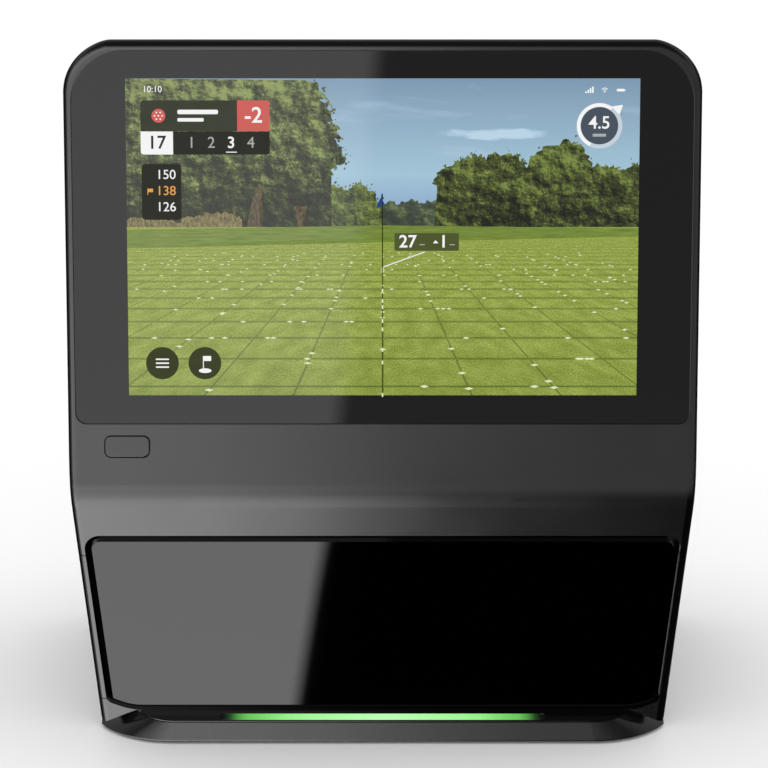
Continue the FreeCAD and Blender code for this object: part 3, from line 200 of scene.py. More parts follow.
def black_glass(name, color, rough, smear, ior=GLASS_IOR):
    """Polished black-backed glass with faint wipe marks in its gloss."""
    m = Mat(name)
    wipe = m.noise(9.0, 5.0, m.mapping(scale=(1.0, 1.0, 3.0), rotation=(0, 0.7, 0)), 0.6, 0.6)
    dust = m.ramp(m.voronoi(900.0), [(0.0, 1.0), (0.04, 0.0)])
    m.set(Base_Color=m.mix(m.math("MULTIPLY", dust, 0.02), color, (0.2, 0.2, 0.2, 1)))
    m.set(Roughness=m.spread(wipe, rough, rough + smear))
    m.set(IOR=ior)
    return m.m


def metal(name, color, rough, streak=(1, 1, 30), metallic=1.0):
    """Drawn or brushed metal: streaks run along one axis."""
    m = Mat(name)
    grain = m.noise(300.0, 4.0, m.mapping(scale=streak))
    stain = m.noise(25.0, 3.0)
    m.set(Base_Color=m.mix(stain, shade(color, 0.82), color))
    m.set(Metallic=metallic)
    m.set(Roughness=m.spread(grain, rough - 0.08, rough + 0.1))
    m.bump(grain, 0.00002, 0.3)
    return m.m


def circuit(name):
    """Solder mask with raised tracks and plated pads."""
    mask, copper, gold = (0.012, 0.085, 0.04, 1), (0.02, 0.16, 0.07, 1), (0.55, 0.42, 0.2, 1)
    m = Mat(name)
    cells = m.voronoi(420.0, feature="DISTANCE_TO_EDGE")
    track = m.ramp(cells, [(0.03, 1.0), (0.05, 0.0)])
    pads = m.ramp(m.voronoi(650.0), [(0.10, 1.0), (0.13, 0.0)])
    m.set(Base_Color=m.mix(pads, m.mix(track, mask, copper), gold))
    m.set(Metallic=m.math("MULTIPLY", pads, 0.9))
    m.set(Roughness=m.spread(m.noise(60.0), 0.3, 0.42))
    m.bump(track, 0.00003, 0.5)
    return m.m


def rubber(name, color=(0.018, 0.018, 0.018, 1), ribs=0.0):
    """Matt rubber with a dusty bloom; ribs, where it has them, repeat across at that pitch."""
    m = Mat(name)
    bloom = m.noise(70.0, 6.0)
    pores = m.noise(2200.0, 2.0)
    m.set(Base_Color=m.mix(bloom, color, shade(color, 1.8)))
    m.set(Roughness=m.spread(bloom, 0.68, 0.85))
    if ribs:
        wave = m.math("SINE", m.math("MULTIPLY", m.split()["X"], 2 * math.pi / ribs))
        pores = m.math("MULTIPLY_ADD", wave, 2.0, pores)
    m.bump(pores, 0.00006, 0.8)
    return m.m


def woven(name, color):
    """Plain weave webbing."""
    threads = 5200.0
    m = Mat(name)
    x, y, z = m.split()
    warp = m.math("SINE", m.math("MULTIPLY", x, threads))
    weft = m.math("SINE", m.math("MULTIPLY", m.math("ADD", y, z), threads))
    cloth = m.math("MULTIPLY", warp, weft)
    lint = m.noise(900.0, 3.0)
    m.set(Base_Color=m.mix(lint, color, shade(color, 2.2)))
    m.set(Roughness=0.9)
    m.bump(cloth, 0.0002, 0.8)
    return m.m


def sleeve_wrap(name):
    """Shrink sleeve round the cells: coloured film with a darker seam band."""
    m = Mat(name)
    band = m.ramp(m.math("ABSOLUTE", m.split()["X"]), [(0.010, 0.0), (0.011, 1.0)])
    crease = m.noise(140.0, 4.0, m.mapping(scale=(0.2, 1, 1)))
    m.set(Base_Color=m.mix(band, (0.02, 0.02, 0.022, 1), (0.03, 0.09, 0.32, 1)))
    m.set(Roughness=m.spread(crease, 0.22, 0.38))
    m.bump(crease, 0.0002, 0.4)
    return m.m


def lens_glass(name):
    """Coated lens, purple and green in patches."""
    m = Mat(name)
    tint = m.ramp(m.noise(90.0), [(0.35, (0.03, 0.01, 0.06, 1)), (0.65, (0.02, 0.08, 0.05, 1))])
    m.set(Base_Color=m.mix(m.noise(40.0), tint, (0.01, 0.01, 0.02, 1)))
    m.set(Roughness=0.03, IOR=1.7)
    return m.m


def light_guide(name, half_length):
    """Frosted strip, lit green: whitish in the middle and black at its unlit ends."""
    m = Mat(name)
    along = m.math("DIVIDE", m.math("ABSOLUTE", m.split()["X"]), half_length)
    frost = m.noise(700.0, 2.0)
    dim, lit, hot = (0.01, 0.03, 0.012, 1), srgb(120, 235, 100), srgb(186, 252, 180)
    glow = m.ramp(along, [(0.0, hot), (0.45, srgb(165, 248, 155)), (0.90, lit), (1.0, dim)])
    power = m.ramp(along, [(0.0, 1.0), (0.60, 0.92), (0.84, 0.62), (0.94, 0.12), (0.985, 0.0)])
    m.set(Base_Color=m.mix(frost, (0.004, 0.005, 0.004, 1), (0.008, 0.01, 0.008, 1)))
    m.set(Roughness=m.spread(frost, 0.24, 0.32))
    m.set(Emission_Color=glow)
    m.set(Emission_Strength=m.math("MULTIPLY", power, 1.05))
    return m.m


def make_materials():
    """One material for each slot of the record."""
    black = (0.0035, 0.0035, 0.0036, 1)
    soft_black = (0.0045, 0.0045, 0.0046, 1)
    strip_half_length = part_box("light_strip")[1].x
    return {
        "case_plastic": moulded_plastic("case_plastic", black, 0.15, relief=0.000006, specular=0.92),
        "button_plastic": moulded_plastic("button_plastic", soft_black, 0.17, relief=0.000006,
                                          specular=0.9),
        "cover_glass": black_glass("cover_glass", (0.0012, 0.0012, 0.0014, 1), 0.012, 0.012, 1.52),
        "window_glass": black_glass("window_glass", (0.0003, 0.0003, 0.0004, 1), 0.012, 0.012),
        "picture_panel": black_glass("panel_back", (0.01, 0.02, 0.012, 1), 0.1, 0.1),
        "backlight_tray": metal("backlight_tray", (0.75, 0.75, 0.76, 1), 0.4, metallic=0.3),
        "black_foam": rubber("black_foam"),
        "steel_sheet": metal("steel_sheet", (0.62, 0.62, 0.6, 1), 0.34, (30, 1, 1)),
        "circuit_board": circuit("circuit_board"),
        "switch_plastic": moulded_plastic("switch_plastic", (0.04, 0.04, 0.042, 1), 0.45),
        "light_diffuser": light_guide("light_diffuser", strip_half_length),
        "barrel_metal": metal("barrel_metal", (0.03, 0.03, 0.032, 1), 0.42, (1, 1, 1)),
        "lens_glass": lens_glass("lens_glass"),
        "reflector_metal": metal("reflector_metal", (0.85, 0.85, 0.86, 1), 0.14, (1, 1, 1)),
        "chip_epoxy": moulded_plastic("chip_epoxy", (0.02, 0.02, 0.021, 1), 0.5),
        "heat_sink_metal": metal("heat_sink_metal", (0.68, 0.69, 0.7, 1), 0.36),
        "fan_plastic": moulded_plastic("fan_plastic", (0.016, 0.016, 0.017, 1), 0.42),
        "cell_wrap": sleeve_wrap("cell_wrap"),
        "inner_plastic": moulded_plastic("inner_plastic", (0.035, 0.035, 0.036, 1), 0.5),
        "strap_fabric": woven("strap_fabric", (0.02, 0.02, 0.022, 1)),
        "speaker_paper": moulded_plastic("speaker_paper", (0.03, 0.03, 0.031, 1), 0.75, 900.0, 0.00008),
        "handle_metal": moulded_plastic("handle_metal", (0.022, 0.022, 0.023, 1), 0.35, 1100.0, 0.00004),
        "grip_rubber": rubber("grip_rubber", (0.016, 0.016, 0.017, 1), 0.004),
        "socket_metal": metal("socket_metal", (0.7, 0.7, 0.7, 1), 0.25, (1, 1, 12)),
        "socket_plastic": moulded_plastic("socket_plastic", (0.014, 0.014, 0.015, 1), 0.35),
        "foot_rubber": rubber("foot_rubber"),
        "wheel_plastic": moulded_plastic("wheel_plastic", (0.03, 0.03, 0.031, 1), 0.5),
        "screw_steel": metal("screw_steel", (0.12, 0.12, 0.125, 1), 0.35, (1, 1, 1)),
    }


def paint_nodes(materials):
    """Give each CAD node its slot's material."""
    slots = {row["node"]: row["material_slot"] for row in frame["record"]["subparts"]}
    for node, obj in frame["nodes"].items():
        if len(obj.material_slots) == 0:
            obj.data.materials.append(materials[slots[node]])
        for one in obj.material_slots:
            one.material = materials[slots[node]]
    # The dark pane shows no mirror image of the ledge in front of it.
    for node in ("base_tray", "light_strip", "light_strip_board", "front_feet", "case_screws"):
        frame["nodes"][node].visible_glossy = False


# ---- the picture on the screen -----------------------------------------------------------------
# Sheets lie in layers on the glass. Picture places run 0..1 across and 0..1 up.
LAYER = 0.00003
RATIO = PICTURE.x / PICTURE.y
FONT_SIZE = 1.38              # font size for each unit of numeral height
SHORE = 0.535                 # foot of the trees
FOOT = 0.52                   # lower edge of the sheets behind the green, hidden by it
VANISH = 0.649                # where the green's grid lines meet, above the horizon
LANE = 0.433                  # grid lane width for each unit below the vanishing point
ROW = 0.505                   # grid row spacing in depth


def place(u, v, layer):
    """Point in the row frame of a picture place."""
    flat = across * ((u - 0.5) * PICTURE.x) + up_screen * ((v - 0.5) * PICTURE.y)
    return picture_middle + flat + out_screen * (LAYER * (layer + 1))


def sheet_object(name, rings, layer, material):
    """Flat piece on the screen from closed rings of picture places."""
    mesh = bpy.data.meshes.new(name)
    bm = bmesh.new()
    uv = bm.loops.layers.uv.new("UVMap")
    for ring in rings:
        verts = [bm.verts.new(place(u, v, layer)) for u, v in ring]
        bm.faces.new(verts)
    bmesh.ops.triangulate(bm, faces=bm.faces[:], ngon_method="EAR_CLIP")
    lookup = {}
    for ring in rings:
        for u, v in ring:
            key = tuple(round(c, 7) for c in place(u, v, layer))
            lookup[key] = (u, v)
    for face in bm.faces:
        for loop in face.loops:
            loop[uv].uv = lookup[tuple(round(c, 7) for c in loop.vert.co)]
        if face.normal.dot(out_screen) < 0:
            face.normal_flip()
    bm.to_mesh(mesh)
    bm.free()
    obj = bpy.data.objects.new(name, mesh)
    scene.collection.objects.link(obj)
    mesh.materials.append(material)
    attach(obj, "case")


def lit(name):
    """Base of a lit picture material: black, glossy, with its colour as light. Uses UV places."""
    m = Mat(name, "UV")
    m.set(Base_Color=(0.003, 0.003, 0.003, 1), Roughness=0.03, IOR=GLASS_IOR)
    m.set(Emission_Strength=1.0)
    return m


def flat_light(name, color):
    """One colour with a faint grain."""
    m = lit(name)
    m.set(Emission_Color=m.mix(m.noise(300.0, 1.0), shade(color, 0.96), color))
    m.set(Specular_IOR_Level=0.0)
    return m.m


def glass_panel_light(name, color, through, share):
    """Dark overlay panel that lets a share of the scene's tone through."""
    m = lit(name)
    m.set(Specular_IOR_Level=0.0)
    bright = [c + (t - c) * share for c, t in zip(color[:3], through[:3])] + [1]
    m.set(Emission_Color=m.mix(m.noise(14.0, 3.0), shade(color, 0.85), bright))
    return m.m


def sky_light():
    """Hazy blue, palest above the trees, with thin streaks and one low cloud."""
    m = lit("picture_sky")
    u, v, _ = m.split()
    base = m.ramp(v, [(0.52, srgb(138, 170, 202)), (0.62, srgb(146, 176, 205)),
                      (0.70, srgb(160, 194, 212)), (0.88, srgb(140, 170, 192)),
                      (1.0, srgb(122, 150, 175))])
    streaks = m.noise(4.0, 5.0, m.mapping(scale=(1.0, 3.4, 1.0), location=(0.3, 0.1, 0)), 0.55, 0.4)
    cloud = m.ramp(streaks, [(0.58, 0.0), (0.72, 0.35)])
    sky = m.mix(cloud, base, srgb(186, 212, 230))
    # One low, soft cloud over the right-hand trees: a noisy ellipse.
    cloud_u, cloud_v, half_wide, half_tall = 0.72, 0.826, 0.11, 0.020
    puff = m.noise(16.0, 5.0, m.mapping(scale=(1.0, 2.2, 1.0)), 0.6)
    du = m.math("DIVIDE", m.math("SUBTRACT", u, cloud_u), half_wide)
    dv = m.math("DIVIDE", m.math("SUBTRACT", v, cloud_v), half_tall)
    far = m.math("ADD", m.math("MULTIPLY", du, du), m.math("MULTIPLY", dv, dv))
    body = m.math("MULTIPLY_ADD", puff, 2.2, m.math("SUBTRACT", 0.2, far))
    m.set(Emission_Color=m.mix(m.ramp(body, [(0.35, 0.0), (0.95, 0.85)]), sky, srgb(190, 216, 234)))
    return m.m


def leaf_light(name, dark, middle, light, base_v, top_v, scale=60.0):
    """Foliage between two heights: clumps lit from above, dark below, with fine leaf speckle."""
    m = lit(name)
    v = m.split()["Y"]
    height = m.math("DIVIDE", m.math("SUBTRACT", v, base_v), top_v - base_v, clamp=True)
    tone = m.math("MULTIPLY_ADD", height, 0.34, 0.22)
    stretch = (1.6, 1.0, 1.0)
    # Clumps and leaves lit from the upper right: each noise less itself a step towards the light.
    for size, step, share in ((0.26, 0.018, 1.5), (0.8, 0.007, 0.9), (2.4, 0.0025, 0.7)):
        here = m.noise(scale * size, 3.0, m.mapping(scale=stretch), 0.6)
        there = m.noise(scale * size, 3.0, m.mapping(scale=stretch, location=(step, step, 0)), 0.6)
        tone = m.math("MULTIPLY_ADD", m.math("SUBTRACT", here, there), share, tone)
    for size, share in ((0.2, 0.7), (4.0, 0.5)):
        speckle = m.math("SUBTRACT", m.noise(scale * size, 2.0), 0.5)
        tone = m.math("MULTIPLY_ADD", speckle, share, tone)
    m.set(Emission_Color=m.ramp(tone, [(0.08, dark), (0.42, middle), (0.78, light)]))
    return m.m


def off_whole(m, value):
    """How far a value is from the nearest whole number."""
    return m.math("ABSOLUTE", m.math("SUBTRACT", m.math("FRACT", m.math("ADD", value, 0.5)), 0.5))


def grid_line(m, distance, blur):
    """Line that is full up to its half width and gone at blur half widths. Distances in metres."""
    half_width_mm = 0.22
    in_mm = m.math("MULTIPLY", distance, 1000.0)
    return m.ramp(in_mm, [(half_width_mm, 1.0), (half_width_mm * blur, 0.0)])


def grass_light():
    """Putting green: perspective grid, mown grain and a slow light change."""
    m = lit("picture_green")
    u, v, _ = m.split()
    drop = m.math("MULTIPLY", m.math("SUBTRACT", VANISH, v), PICTURE.y)
    side = m.math("MULTIPLY", m.math("SUBTRACT", u, 0.5), PICTURE.x)
    lane_width = m.math("MULTIPLY", drop, LANE)
    lane = m.math("DIVIDE", side, lane_width)
    row = m.math("DIVIDE", ROW, drop)
    lane_far = m.math("MULTIPLY", off_whole(m, lane), lane_width)
    row_far = m.math("DIVIDE", m.math("MULTIPLY", off_whole(m, row), m.math("MULTIPLY", drop, drop)), ROW)
    line = m.math("MAXIMUM", grid_line(m, lane_far, 2.6), grid_line(m, row_far, 2.4))
    fade = m.ramp(m.math("MULTIPLY", drop, 10.0), [(0.2, 0.1), (0.4, 0.45), (0.9, 0.72)])
    ground = m.join(m.math("MULTIPLY", lane, 3.0), m.math("MULTIPLY", row, 1.5))
    mow = m.noise(1.1, 3.0, ground)
    blades = m.noise(230.0, 3.0, m.mapping(scale=(1.6, 1.0, 1.0)), 0.8)
    tone = m.math("MULTIPLY_ADD", blades, 0.75, m.math("MULTIPLY_ADD", mow, 0.3, -0.02))
    near = m.ramp(tone, [(0.30, srgb(80, 98, 26)), (0.48, srgb(126, 142, 50)), (0.66, srgb(170, 184, 92))])
    far = m.ramp(tone, [(0.30, srgb(98, 118, 34)), (0.48, srgb(142, 158, 64)), (0.66, srgb(180, 194, 102))])
    depth = m.ramp(v, [(0.0, 0.0), (0.45, 1.0)])
    m.set(Emission_Color=m.mix(m.math("MULTIPLY", line, fade), m.mix(depth, near, far), srgb(64, 84, 22)))
    return m.m


def fringe_light():
    """Longer grass between the green and the trees."""
    m = lit("picture_fringe")
    grain = m.noise(60.0, 4.0, m.mapping(scale=(0.35, 3.0, 1.0)))
    m.set(Emission_Color=m.ramp(grain, [(0.3, srgb(96, 118, 40)), (0.7, srgb(126, 146, 62))]))
    return m.m


def reed_light():
    """Dry reeds, as upright stalks."""
    m = lit("picture_reeds")
    stalks = m.noise(120.0, 3.0, m.mapping(scale=(2.2, 0.5, 1.0)), 0.7)
    m.set(Emission_Color=m.ramp(stalks, [(0.3, srgb(66, 62, 40)), (0.55, srgb(128, 118, 78)),
                                         (0.75, srgb(170, 156, 104))]))
    return m.m


def bark_light():
    """Bark with upright grooves."""
    m = lit("picture_bark")
    grooves = m.noise(90.0, 4.0, m.mapping(scale=(3.0, 0.6, 1.0)))
    m.set(Emission_Color=m.ramp(grooves, [(0.3, srgb(48, 44, 34)), (0.7, srgb(112, 98, 68))]))
    return m.m


def leafy_edge(points, roughness, steps, seed):
    """Outline between given points, broken up into leaf clumps."""
    rng = random.Random(seed)
    edge = []
    for (u0, v0), (u1, v1) in zip(points, points[1:]):
        for k in range(steps):
            t = k / steps
            bulge = math.sin(math.pi * t) * roughness * 0.8
            wobble = rng.uniform(-1, 1) * roughness
            length = math.hypot(u1 - u0, v1 - v0)
            nu, nv = -(v1 - v0) / length, (u1 - u0) / length
            edge.append((u0 + (u1 - u0) * t + nu * (wobble + bulge) * 0.6,
                         v0 + (v1 - v0) * t + nv * (wobble + bulge)))
    edge.append(points[-1])
    return [(min(max(u, 0.0), 1.0), min(max(v, 0.0), 1.0)) for u, v in edge]


def leaf_sprays(points, count, size, seed):
    """Small leaf tufts scattered along an outline."""
    rng = random.Random(seed)
    rings = []
    for _ in range(count):
        k = rng.randrange(len(points) - 1)
        t = rng.random()
        u = points[k][0] + (points[k + 1][0] - points[k][0]) * t + rng.gauss(0, size)
        v = points[k][1] + (points[k + 1][1] - points[k][1]) * t + rng.gauss(0, size * 1.4)
        turn = rng.uniform(0, math.pi)
        r = size * rng.uniform(0.25, 0.7)
        ring = []
        for a in range(5):
            angle = turn + a * 2 * math.pi / 5
            ring.append((u + r * math.cos(angle) * rng.uniform(0.5, 1.3) * 0.62,
                         v + r * math.sin(angle) * rng.uniform(0.5, 1.3)))
        if all(0 < a < 1 and SHORE < b < 1 for a, b in ring):
            rings.append(ring)
    return rings


def rectangle_ring(u0, v0, u1, v1):
    return [(u0, v0), (u1, v0), (u1, v1), (u0, v1)]


def rounded_ring(u0, v0, u1, v1, r, corners=(1, 1, 1, 1)):
    """Rounded box; r is a share of the picture's width. Corners go anticlockwise from low left."""
    steps = 6
    rv = r * RATIO
    middles = [(u0 + r, v0 + rv, 180), (u1 - r, v0 + rv, 270), (u1 - r, v1 - rv, 0), (u0 + r, v1 - rv, 90)]
    sharp = [(u0, v0), (u1, v0), (u1, v1), (u0, v1)]
    ring = []
    for on, (mu, mv, start), point in zip(corners, middles, sharp):
        if not on:
            ring.append(point)
            continue
        for k in range(steps + 1):
            angle = math.radians(start + 90 * k / steps)
            ring.append((mu + r * math.cos(angle), mv + rv * math.sin(angle)))
    return ring


def disc_ring(u, v, r, steps=48):
    """Disc; r is a share of the picture's width."""
    turns = [2 * math.pi * k / steps for k in range(steps)]
    return [(u + r * math.cos(a), v + r * RATIO * math.sin(a)) for a in turns]


def band_rings(u, v, r0, r1, start, end, steps=40):
    """Pieces of a ring between two radii and two angles."""
    rings = []
    for k in range(steps):
        a = math.radians(start + (end - start) * k / steps)
        b = math.radians(start + (end - start) * (k + 1) / steps)
        rings.append([(u + r0 * math.cos(a), v + r0 * RATIO * math.sin(a)),
                      (u + r1 * math.cos(a), v + r1 * RATIO * math.sin(a)),
                      (u + r1 * math.cos(b), v + r1 * RATIO * math.sin(b)),
                      (u + r0 * math.cos(b), v + r0 * RATIO * math.sin(b))])
    return rings


def label(name, text, u, v, height, layer, material, align="CENTER", bold=0.0):
    """Plain numerals; height is a share of the picture's height."""
    curve = bpy.data.curves.new(name, "FONT")
    curve.body = text
    curve.size = height * PICTURE.y * FONT_SIZE
    curve.align_x = align
    curve.align_y = "CENTER"
    curve.offset = bold * curve.size
    obj = bpy.data.objects.new(name, curve)
    scene.collection.objects.link(obj)
    turn = Matrix((across, up_screen, out_screen)).transposed().to_4x4()
    obj.matrix_world = Matrix.Translation(place(u, v, layer)) @ turn
    bpy.context.view_layer.update()
    mesh = bpy.data.meshes.new_from_object(obj)
    mesh.transform(obj.matrix_world)
    bpy.data.objects.remove(obj)
    flat = bpy.data.objects.new(name, mesh)
    scene.collection.objects.link(flat)
    mesh.materials.clear()
    mesh.materials.append(material)
    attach(flat, "case")


def far_trees():
    """Low trees behind the flag."""
    leaves = leaf_light("picture_far_trees", srgb(50, 60, 50), srgb(70, 80, 62), srgb(104, 120, 74),
                        0.53, 0.63)
    edge = [(0.49, 0.60), (0.505, 0.612), (0.53, 0.606), (0.55, 0.618), (0.575, 0.610), (0.60, 0.616),
            (0.62, 0.60)]
    ring = leafy_edge(edge, 0.006, 6, 5) + [(0.62, FOOT), (0.49, FOOT)]
    sheet_object("picture_far_trees", [ring], 2, leaves)


def mid_trees():
    """Trees that step down from the wood to the far ones."""
    leaves = leaf_light("picture_mid_trees", srgb(42, 48, 28), srgb(84, 98, 48), srgb(128, 144, 70),
                        0.52, 0.70)
    edge = [(0.30, 0.72), (0.345, 0.69), (0.375, 0.672), (0.40, 0.665), (0.43, 0.655), (0.455, 0.668),
            (0.475, 0.645), (0.49, 0.62), (0.50, 0.585)]
    rings = [leafy_edge(edge, 0.008, 6, 11) + [(0.502, FOOT), (0.30, FOOT)]]
    sheet_object("picture_mid_trees", rings + leaf_sprays(edge, 60, 0.007, 12), 3, leaves)


def wood():
    """Dark wood under the big tree, with its trunks and the reeds at its edge."""
    leaves = leaf_light("picture_wood", srgb(22, 26, 14), srgb(48, 55, 30), srgb(96, 108, 54),
                        0.50, 0.85, 46.0)
    behind = [(0.0, 0.56), (0.0, 0.9), (0.38, 0.9), (0.40, 0.70), (0.40, FOOT), (0.0, FOOT)]
    sheet_object("picture_wood", [behind], 4, leaves)
    trunks = [[(0.232, FOOT), (0.262, FOOT), (0.258, 0.60), (0.266, 0.66), (0.252, 0.66), (0.243, 0.60)],
              [(0.055, FOOT), (0.075, FOOT), (0.070, 0.60), (0.062, 0.60)],
              [(0.335, FOOT), (0.343, FOOT), (0.342, 0.575), (0.352, 0.60), (0.346, 0.60),
               (0.337, 0.575), (0.330, 0.60), (0.326, 0.60), (0.334, 0.57)],
              [(0.207, FOOT), (0.213, FOOT), (0.212, 0.60), (0.208, 0.60)]]
    sheet_object("picture_trunks", trunks, 5, bark_light())
    top = [(0.0, 0.56), (0.05, 0.562), (0.10, 0.55), (0.14, 0.572), (0.20, 0.578), (0.225, 0.56)]
    reeds = leafy_edge(top, 0.006, 8, 21) + [(0.225, FOOT), (0.0, FOOT)]
    sheet_object("picture_reeds", [reeds], 6, reed_light())


def big_tree():
    """Crown that fills the upper left; its first points are its right-hand edge, with sprays."""
    leaves = leaf_light("picture_big_tree", srgb(30, 34, 18), srgb(74, 84, 44), srgb(138, 152, 88),
                        0.62, 1.0, 64.0)
    edge = [(0.355, 1.0), (0.385, 0.955), (0.378, 0.93), (0.40, 0.90), (0.395, 0.865), (0.412, 0.835),
            (0.405, 0.80), (0.42, 0.765), (0.428, 0.74), (0.408, 0.75), (0.402, 0.71), (0.385, 0.685),
            (0.34, 0.70), (0.30, 0.665), (0.26, 0.68), (0.20, 0.66), (0.15, 0.675), (0.11, 0.64),
            (0.06, 0.63), (0.0, 0.60)]
    rings = [leafy_edge(edge, 0.010, 6, 31) + [(0.0, 1.0)]]
    sheet_object("picture_big_tree", rings + leaf_sprays(edge[:13], 150, 0.008, 32), 7, leaves)


def right_trees():
    """Row of rounded trees on the right."""
    leaves = leaf_light("picture_right_trees", srgb(20, 24, 12), srgb(66, 76, 34), srgb(124, 140, 66),
                        0.55, 0.80, 58.0)
    edge = [(0.605, 0.655), (0.603, 0.69), (0.628, 0.72), (0.652, 0.745), (0.682, 0.757), (0.70, 0.75),
            (0.744, 0.765), (0.77, 0.745), (0.777, 0.725), (0.81, 0.775), (0.845, 0.80), (0.878, 0.797),
            (0.895, 0.76), (0.907, 0.722), (0.943, 0.725), (0.965, 0.705), (0.99, 0.735), (1.0, 0.73)]
    rings = [leafy_edge(edge, 0.009, 6, 41) + [(1.0, FOOT), (0.60, FOOT)]]
    sheet_object("picture_right_trees", rings + leaf_sprays(edge, 120, 0.007, 42), 8, leaves)


def scenery():
    """What is behind the green, from the back layer forwards."""
    sheet_object("picture_sky", [rectangle_ring(0, 0, 1, 1)], 0, sky_light())
    far_trees()
    mid_trees()
    wood()
    big_tree()
    right_trees()


def row_drop(row):
    """How far below the vanishing point a grid row lies, in metres."""
    return ROW / row


def marker_rings():
    """Small diamonds on the grid, many on a crossing, which get smaller with distance."""
    rng = random.Random(77)
    rings = []
    for lane in range(-7, 8):
        for _ in range(22):
            row = rng.uniform(5.6, 19.0)
            slide = lane if rng.random() < 0.5 else lane + rng.uniform(-0.5, 0.5)
            if slide != lane:
                row = round(row)
            drop = row_drop(row)
            v = VANISH - drop / PICTURE.y
            u = 0.5 + slide * LANE * drop / PICTURE.x
            size = 0.0088 * drop / 0.08
            if 0.01 < u < 0.99 and 0.01 < v < 0.497:
                rings.append([(u - size, v), (u, v - size * 0.5), (u + size, v), (u, v + size * 0.5)])
    return rings


def center_marks():
    """Ticks up the middle line, two of every three."""
    rings = []
    for k in range(12):
        v = VANISH - row_drop(5.75 + k * 0.55) / PICTURE.y
        if k % 3 != 1:
            rings.append(rectangle_ring(0.498, v - 0.006, 0.5012, v + 0.006))
    return rings


def green():
    """The green, what is drawn on it, and the flag."""
    sheet_object("picture_green", [rectangle_ring(0, 0, 1, SHORE)], 9, grass_light())
    fringe = [(0.0, 0.468), (0.25, 0.487), (0.5, 0.503), (0.75, 0.512), (1.0, 0.506), (1.0, 0.531),
              (0.5, 0.5405), (0.0, 0.526)]
    sheet_object("picture_fringe", [fringe], 10, fringe_light())
    marker = flat_light("picture_marker", srgb(226, 232, 190))
    sheet_object("picture_markers", marker_rings(), 11, marker)
    pole = [rectangle_ring(0.4985, 0.41, 0.5005, 0.64)]
    line = [rectangle_ring(0.4989, 0.0, 0.5003, 0.41)]
    sheet_object("picture_pole", pole + line, 12, flat_light("picture_pole", srgb(34, 42, 22)))
    flag = [(0.4988, 0.645), (0.4988, 0.600), (0.4875, 0.594), (0.4905, 0.612), (0.496, 0.626)]
    sheet_object("picture_flag", [flag], 13, flat_light("picture_flag", srgb(38, 72, 128)))
    aim = [(0.5015, 0.4075), (0.582, 0.4545), (0.582, 0.458), (0.5015, 0.411)]
    sheet_object("picture_aim_line", [aim], 13, flat_light("picture_white", srgb(240, 242, 236)))
    sheet_object("picture_center_marks", center_marks(), 14, marker)


# ---- what the screen draws over the picture ----------------------------------------------------
BASE = 15                     # layer of the panels
TOP = 16                      # layer of what is on them


def overlay_tones():
    """Flat colours that the overlays share."""
    colors = {"white": (246, 247, 246), "grey": (172, 176, 172), "ink": (48, 48, 46),
              "red": (210, 101, 96), "amber": (232, 164, 84)}
    return {name: flat_light("overlay_" + name, srgb(*color)) for name, color in colors.items()}


def player_row(tones):
    """A ball, plain bars for the name, and the score."""
    left, score_left, right = 0.029, 0.217, 0.280
    low, high, corner = 0.836, 0.932, 0.006
    middle, ball, dimple = (low + high) / 2, 0.064, 0.0017
    name_bar = glass_panel_light("overlay_name_bar", srgb(62, 64, 56), srgb(76, 80, 62), 0.6)
    panel = rounded_ring(left, low, score_left, high, corner, (0, 0, 0, 1))
    sheet_object("overlay_name_panel", [panel], BASE, name_bar)
    box = rounded_ring(score_left, low, right, high, corner, (0, 0, 1, 0))
    sheet_object("overlay_score_box", [box], BASE, tones["red"])
    sheet_object("overlay_ball", [disc_ring(ball, middle, 0.0135)], TOP, tones["red"])
    turns = [k * math.pi / 3 for k in range(6)]
    dimples = [disc_ring(ball + 0.0075 * math.cos(a), middle + 0.012 * math.sin(a), dimple, 10)
               for a in turns]
    dimples.append(disc_ring(ball, middle, dimple, 10))
    sheet_object("overlay_ball_dimples", dimples, TOP + 1, tones["white"])
    bars = [rounded_ring(0.101, 0.889, 0.180, 0.903, 0.003),
            rounded_ring(0.101, 0.866, 0.152, 0.877, 0.002)]
    sheet_object("overlay_name_bars", bars, TOP, tones["white"])
    label("overlay_score", "-2", 0.2485, middle, 0.050, TOP, tones["white"], bold=0.012)


def shot_row(tones, dark):
    """The hole's number and the shots, the third one underlined."""
    left, hole_right, right = 0.029, 0.092, 0.280
    low, high, corner = 0.763, 0.835, 0.006
    middle = (low + high) / 2
    panel = rounded_ring(hole_right, low, right, high, corner, (0, 1, 0, 0))
    sheet_object("overlay_hole_panel", [panel], BASE, dark)
    box = rounded_ring(left, low, hole_right, high, corner, (1, 0, 0, 0))
    sheet_object("overlay_hole_box", [box], BASE, tones["white"])
    label("overlay_hole", "17", (left + hole_right) / 2, middle, 0.042, TOP, tones["ink"], bold=0.012)
    for k, text in enumerate("1234"):
        tone, weight = ("white", 0.015) if text == "3" else ("grey", 0.0)
        label("overlay_shot_" + text, text, 0.128 + 0.0385 * k, middle, 0.036, TOP, tones[tone],
              bold=weight)
    sheet_object("overlay_underline", [rectangle_ring(0.195, 0.769, 0.216, 0.772)], TOP, tones["white"])


def distance_panel(tones, dark):
    """Three distances, the middle one marked with a flag."""
    sheet_object("overlay_distance_panel", [rounded_ring(0.030, 0.558, 0.107, 0.733, 0.007)], BASE, dark)
    for k, (text, tone) in enumerate((("150", "white"), ("138", "amber"), ("126", "white"))):
        label("overlay_distance_" + text, text, 0.097, 0.699 - 0.0507 * k, 0.030, TOP, tones[tone],
              "RIGHT", 0.003)
    pole, cloth = rectangle_ring(0.041, 0.637, 0.0425, 0.656), rectangle_ring(0.0425, 0.645, 0.052, 0.656)
    sheet_object("overlay_small_flag", [pole, cloth], TOP, tones["amber"])


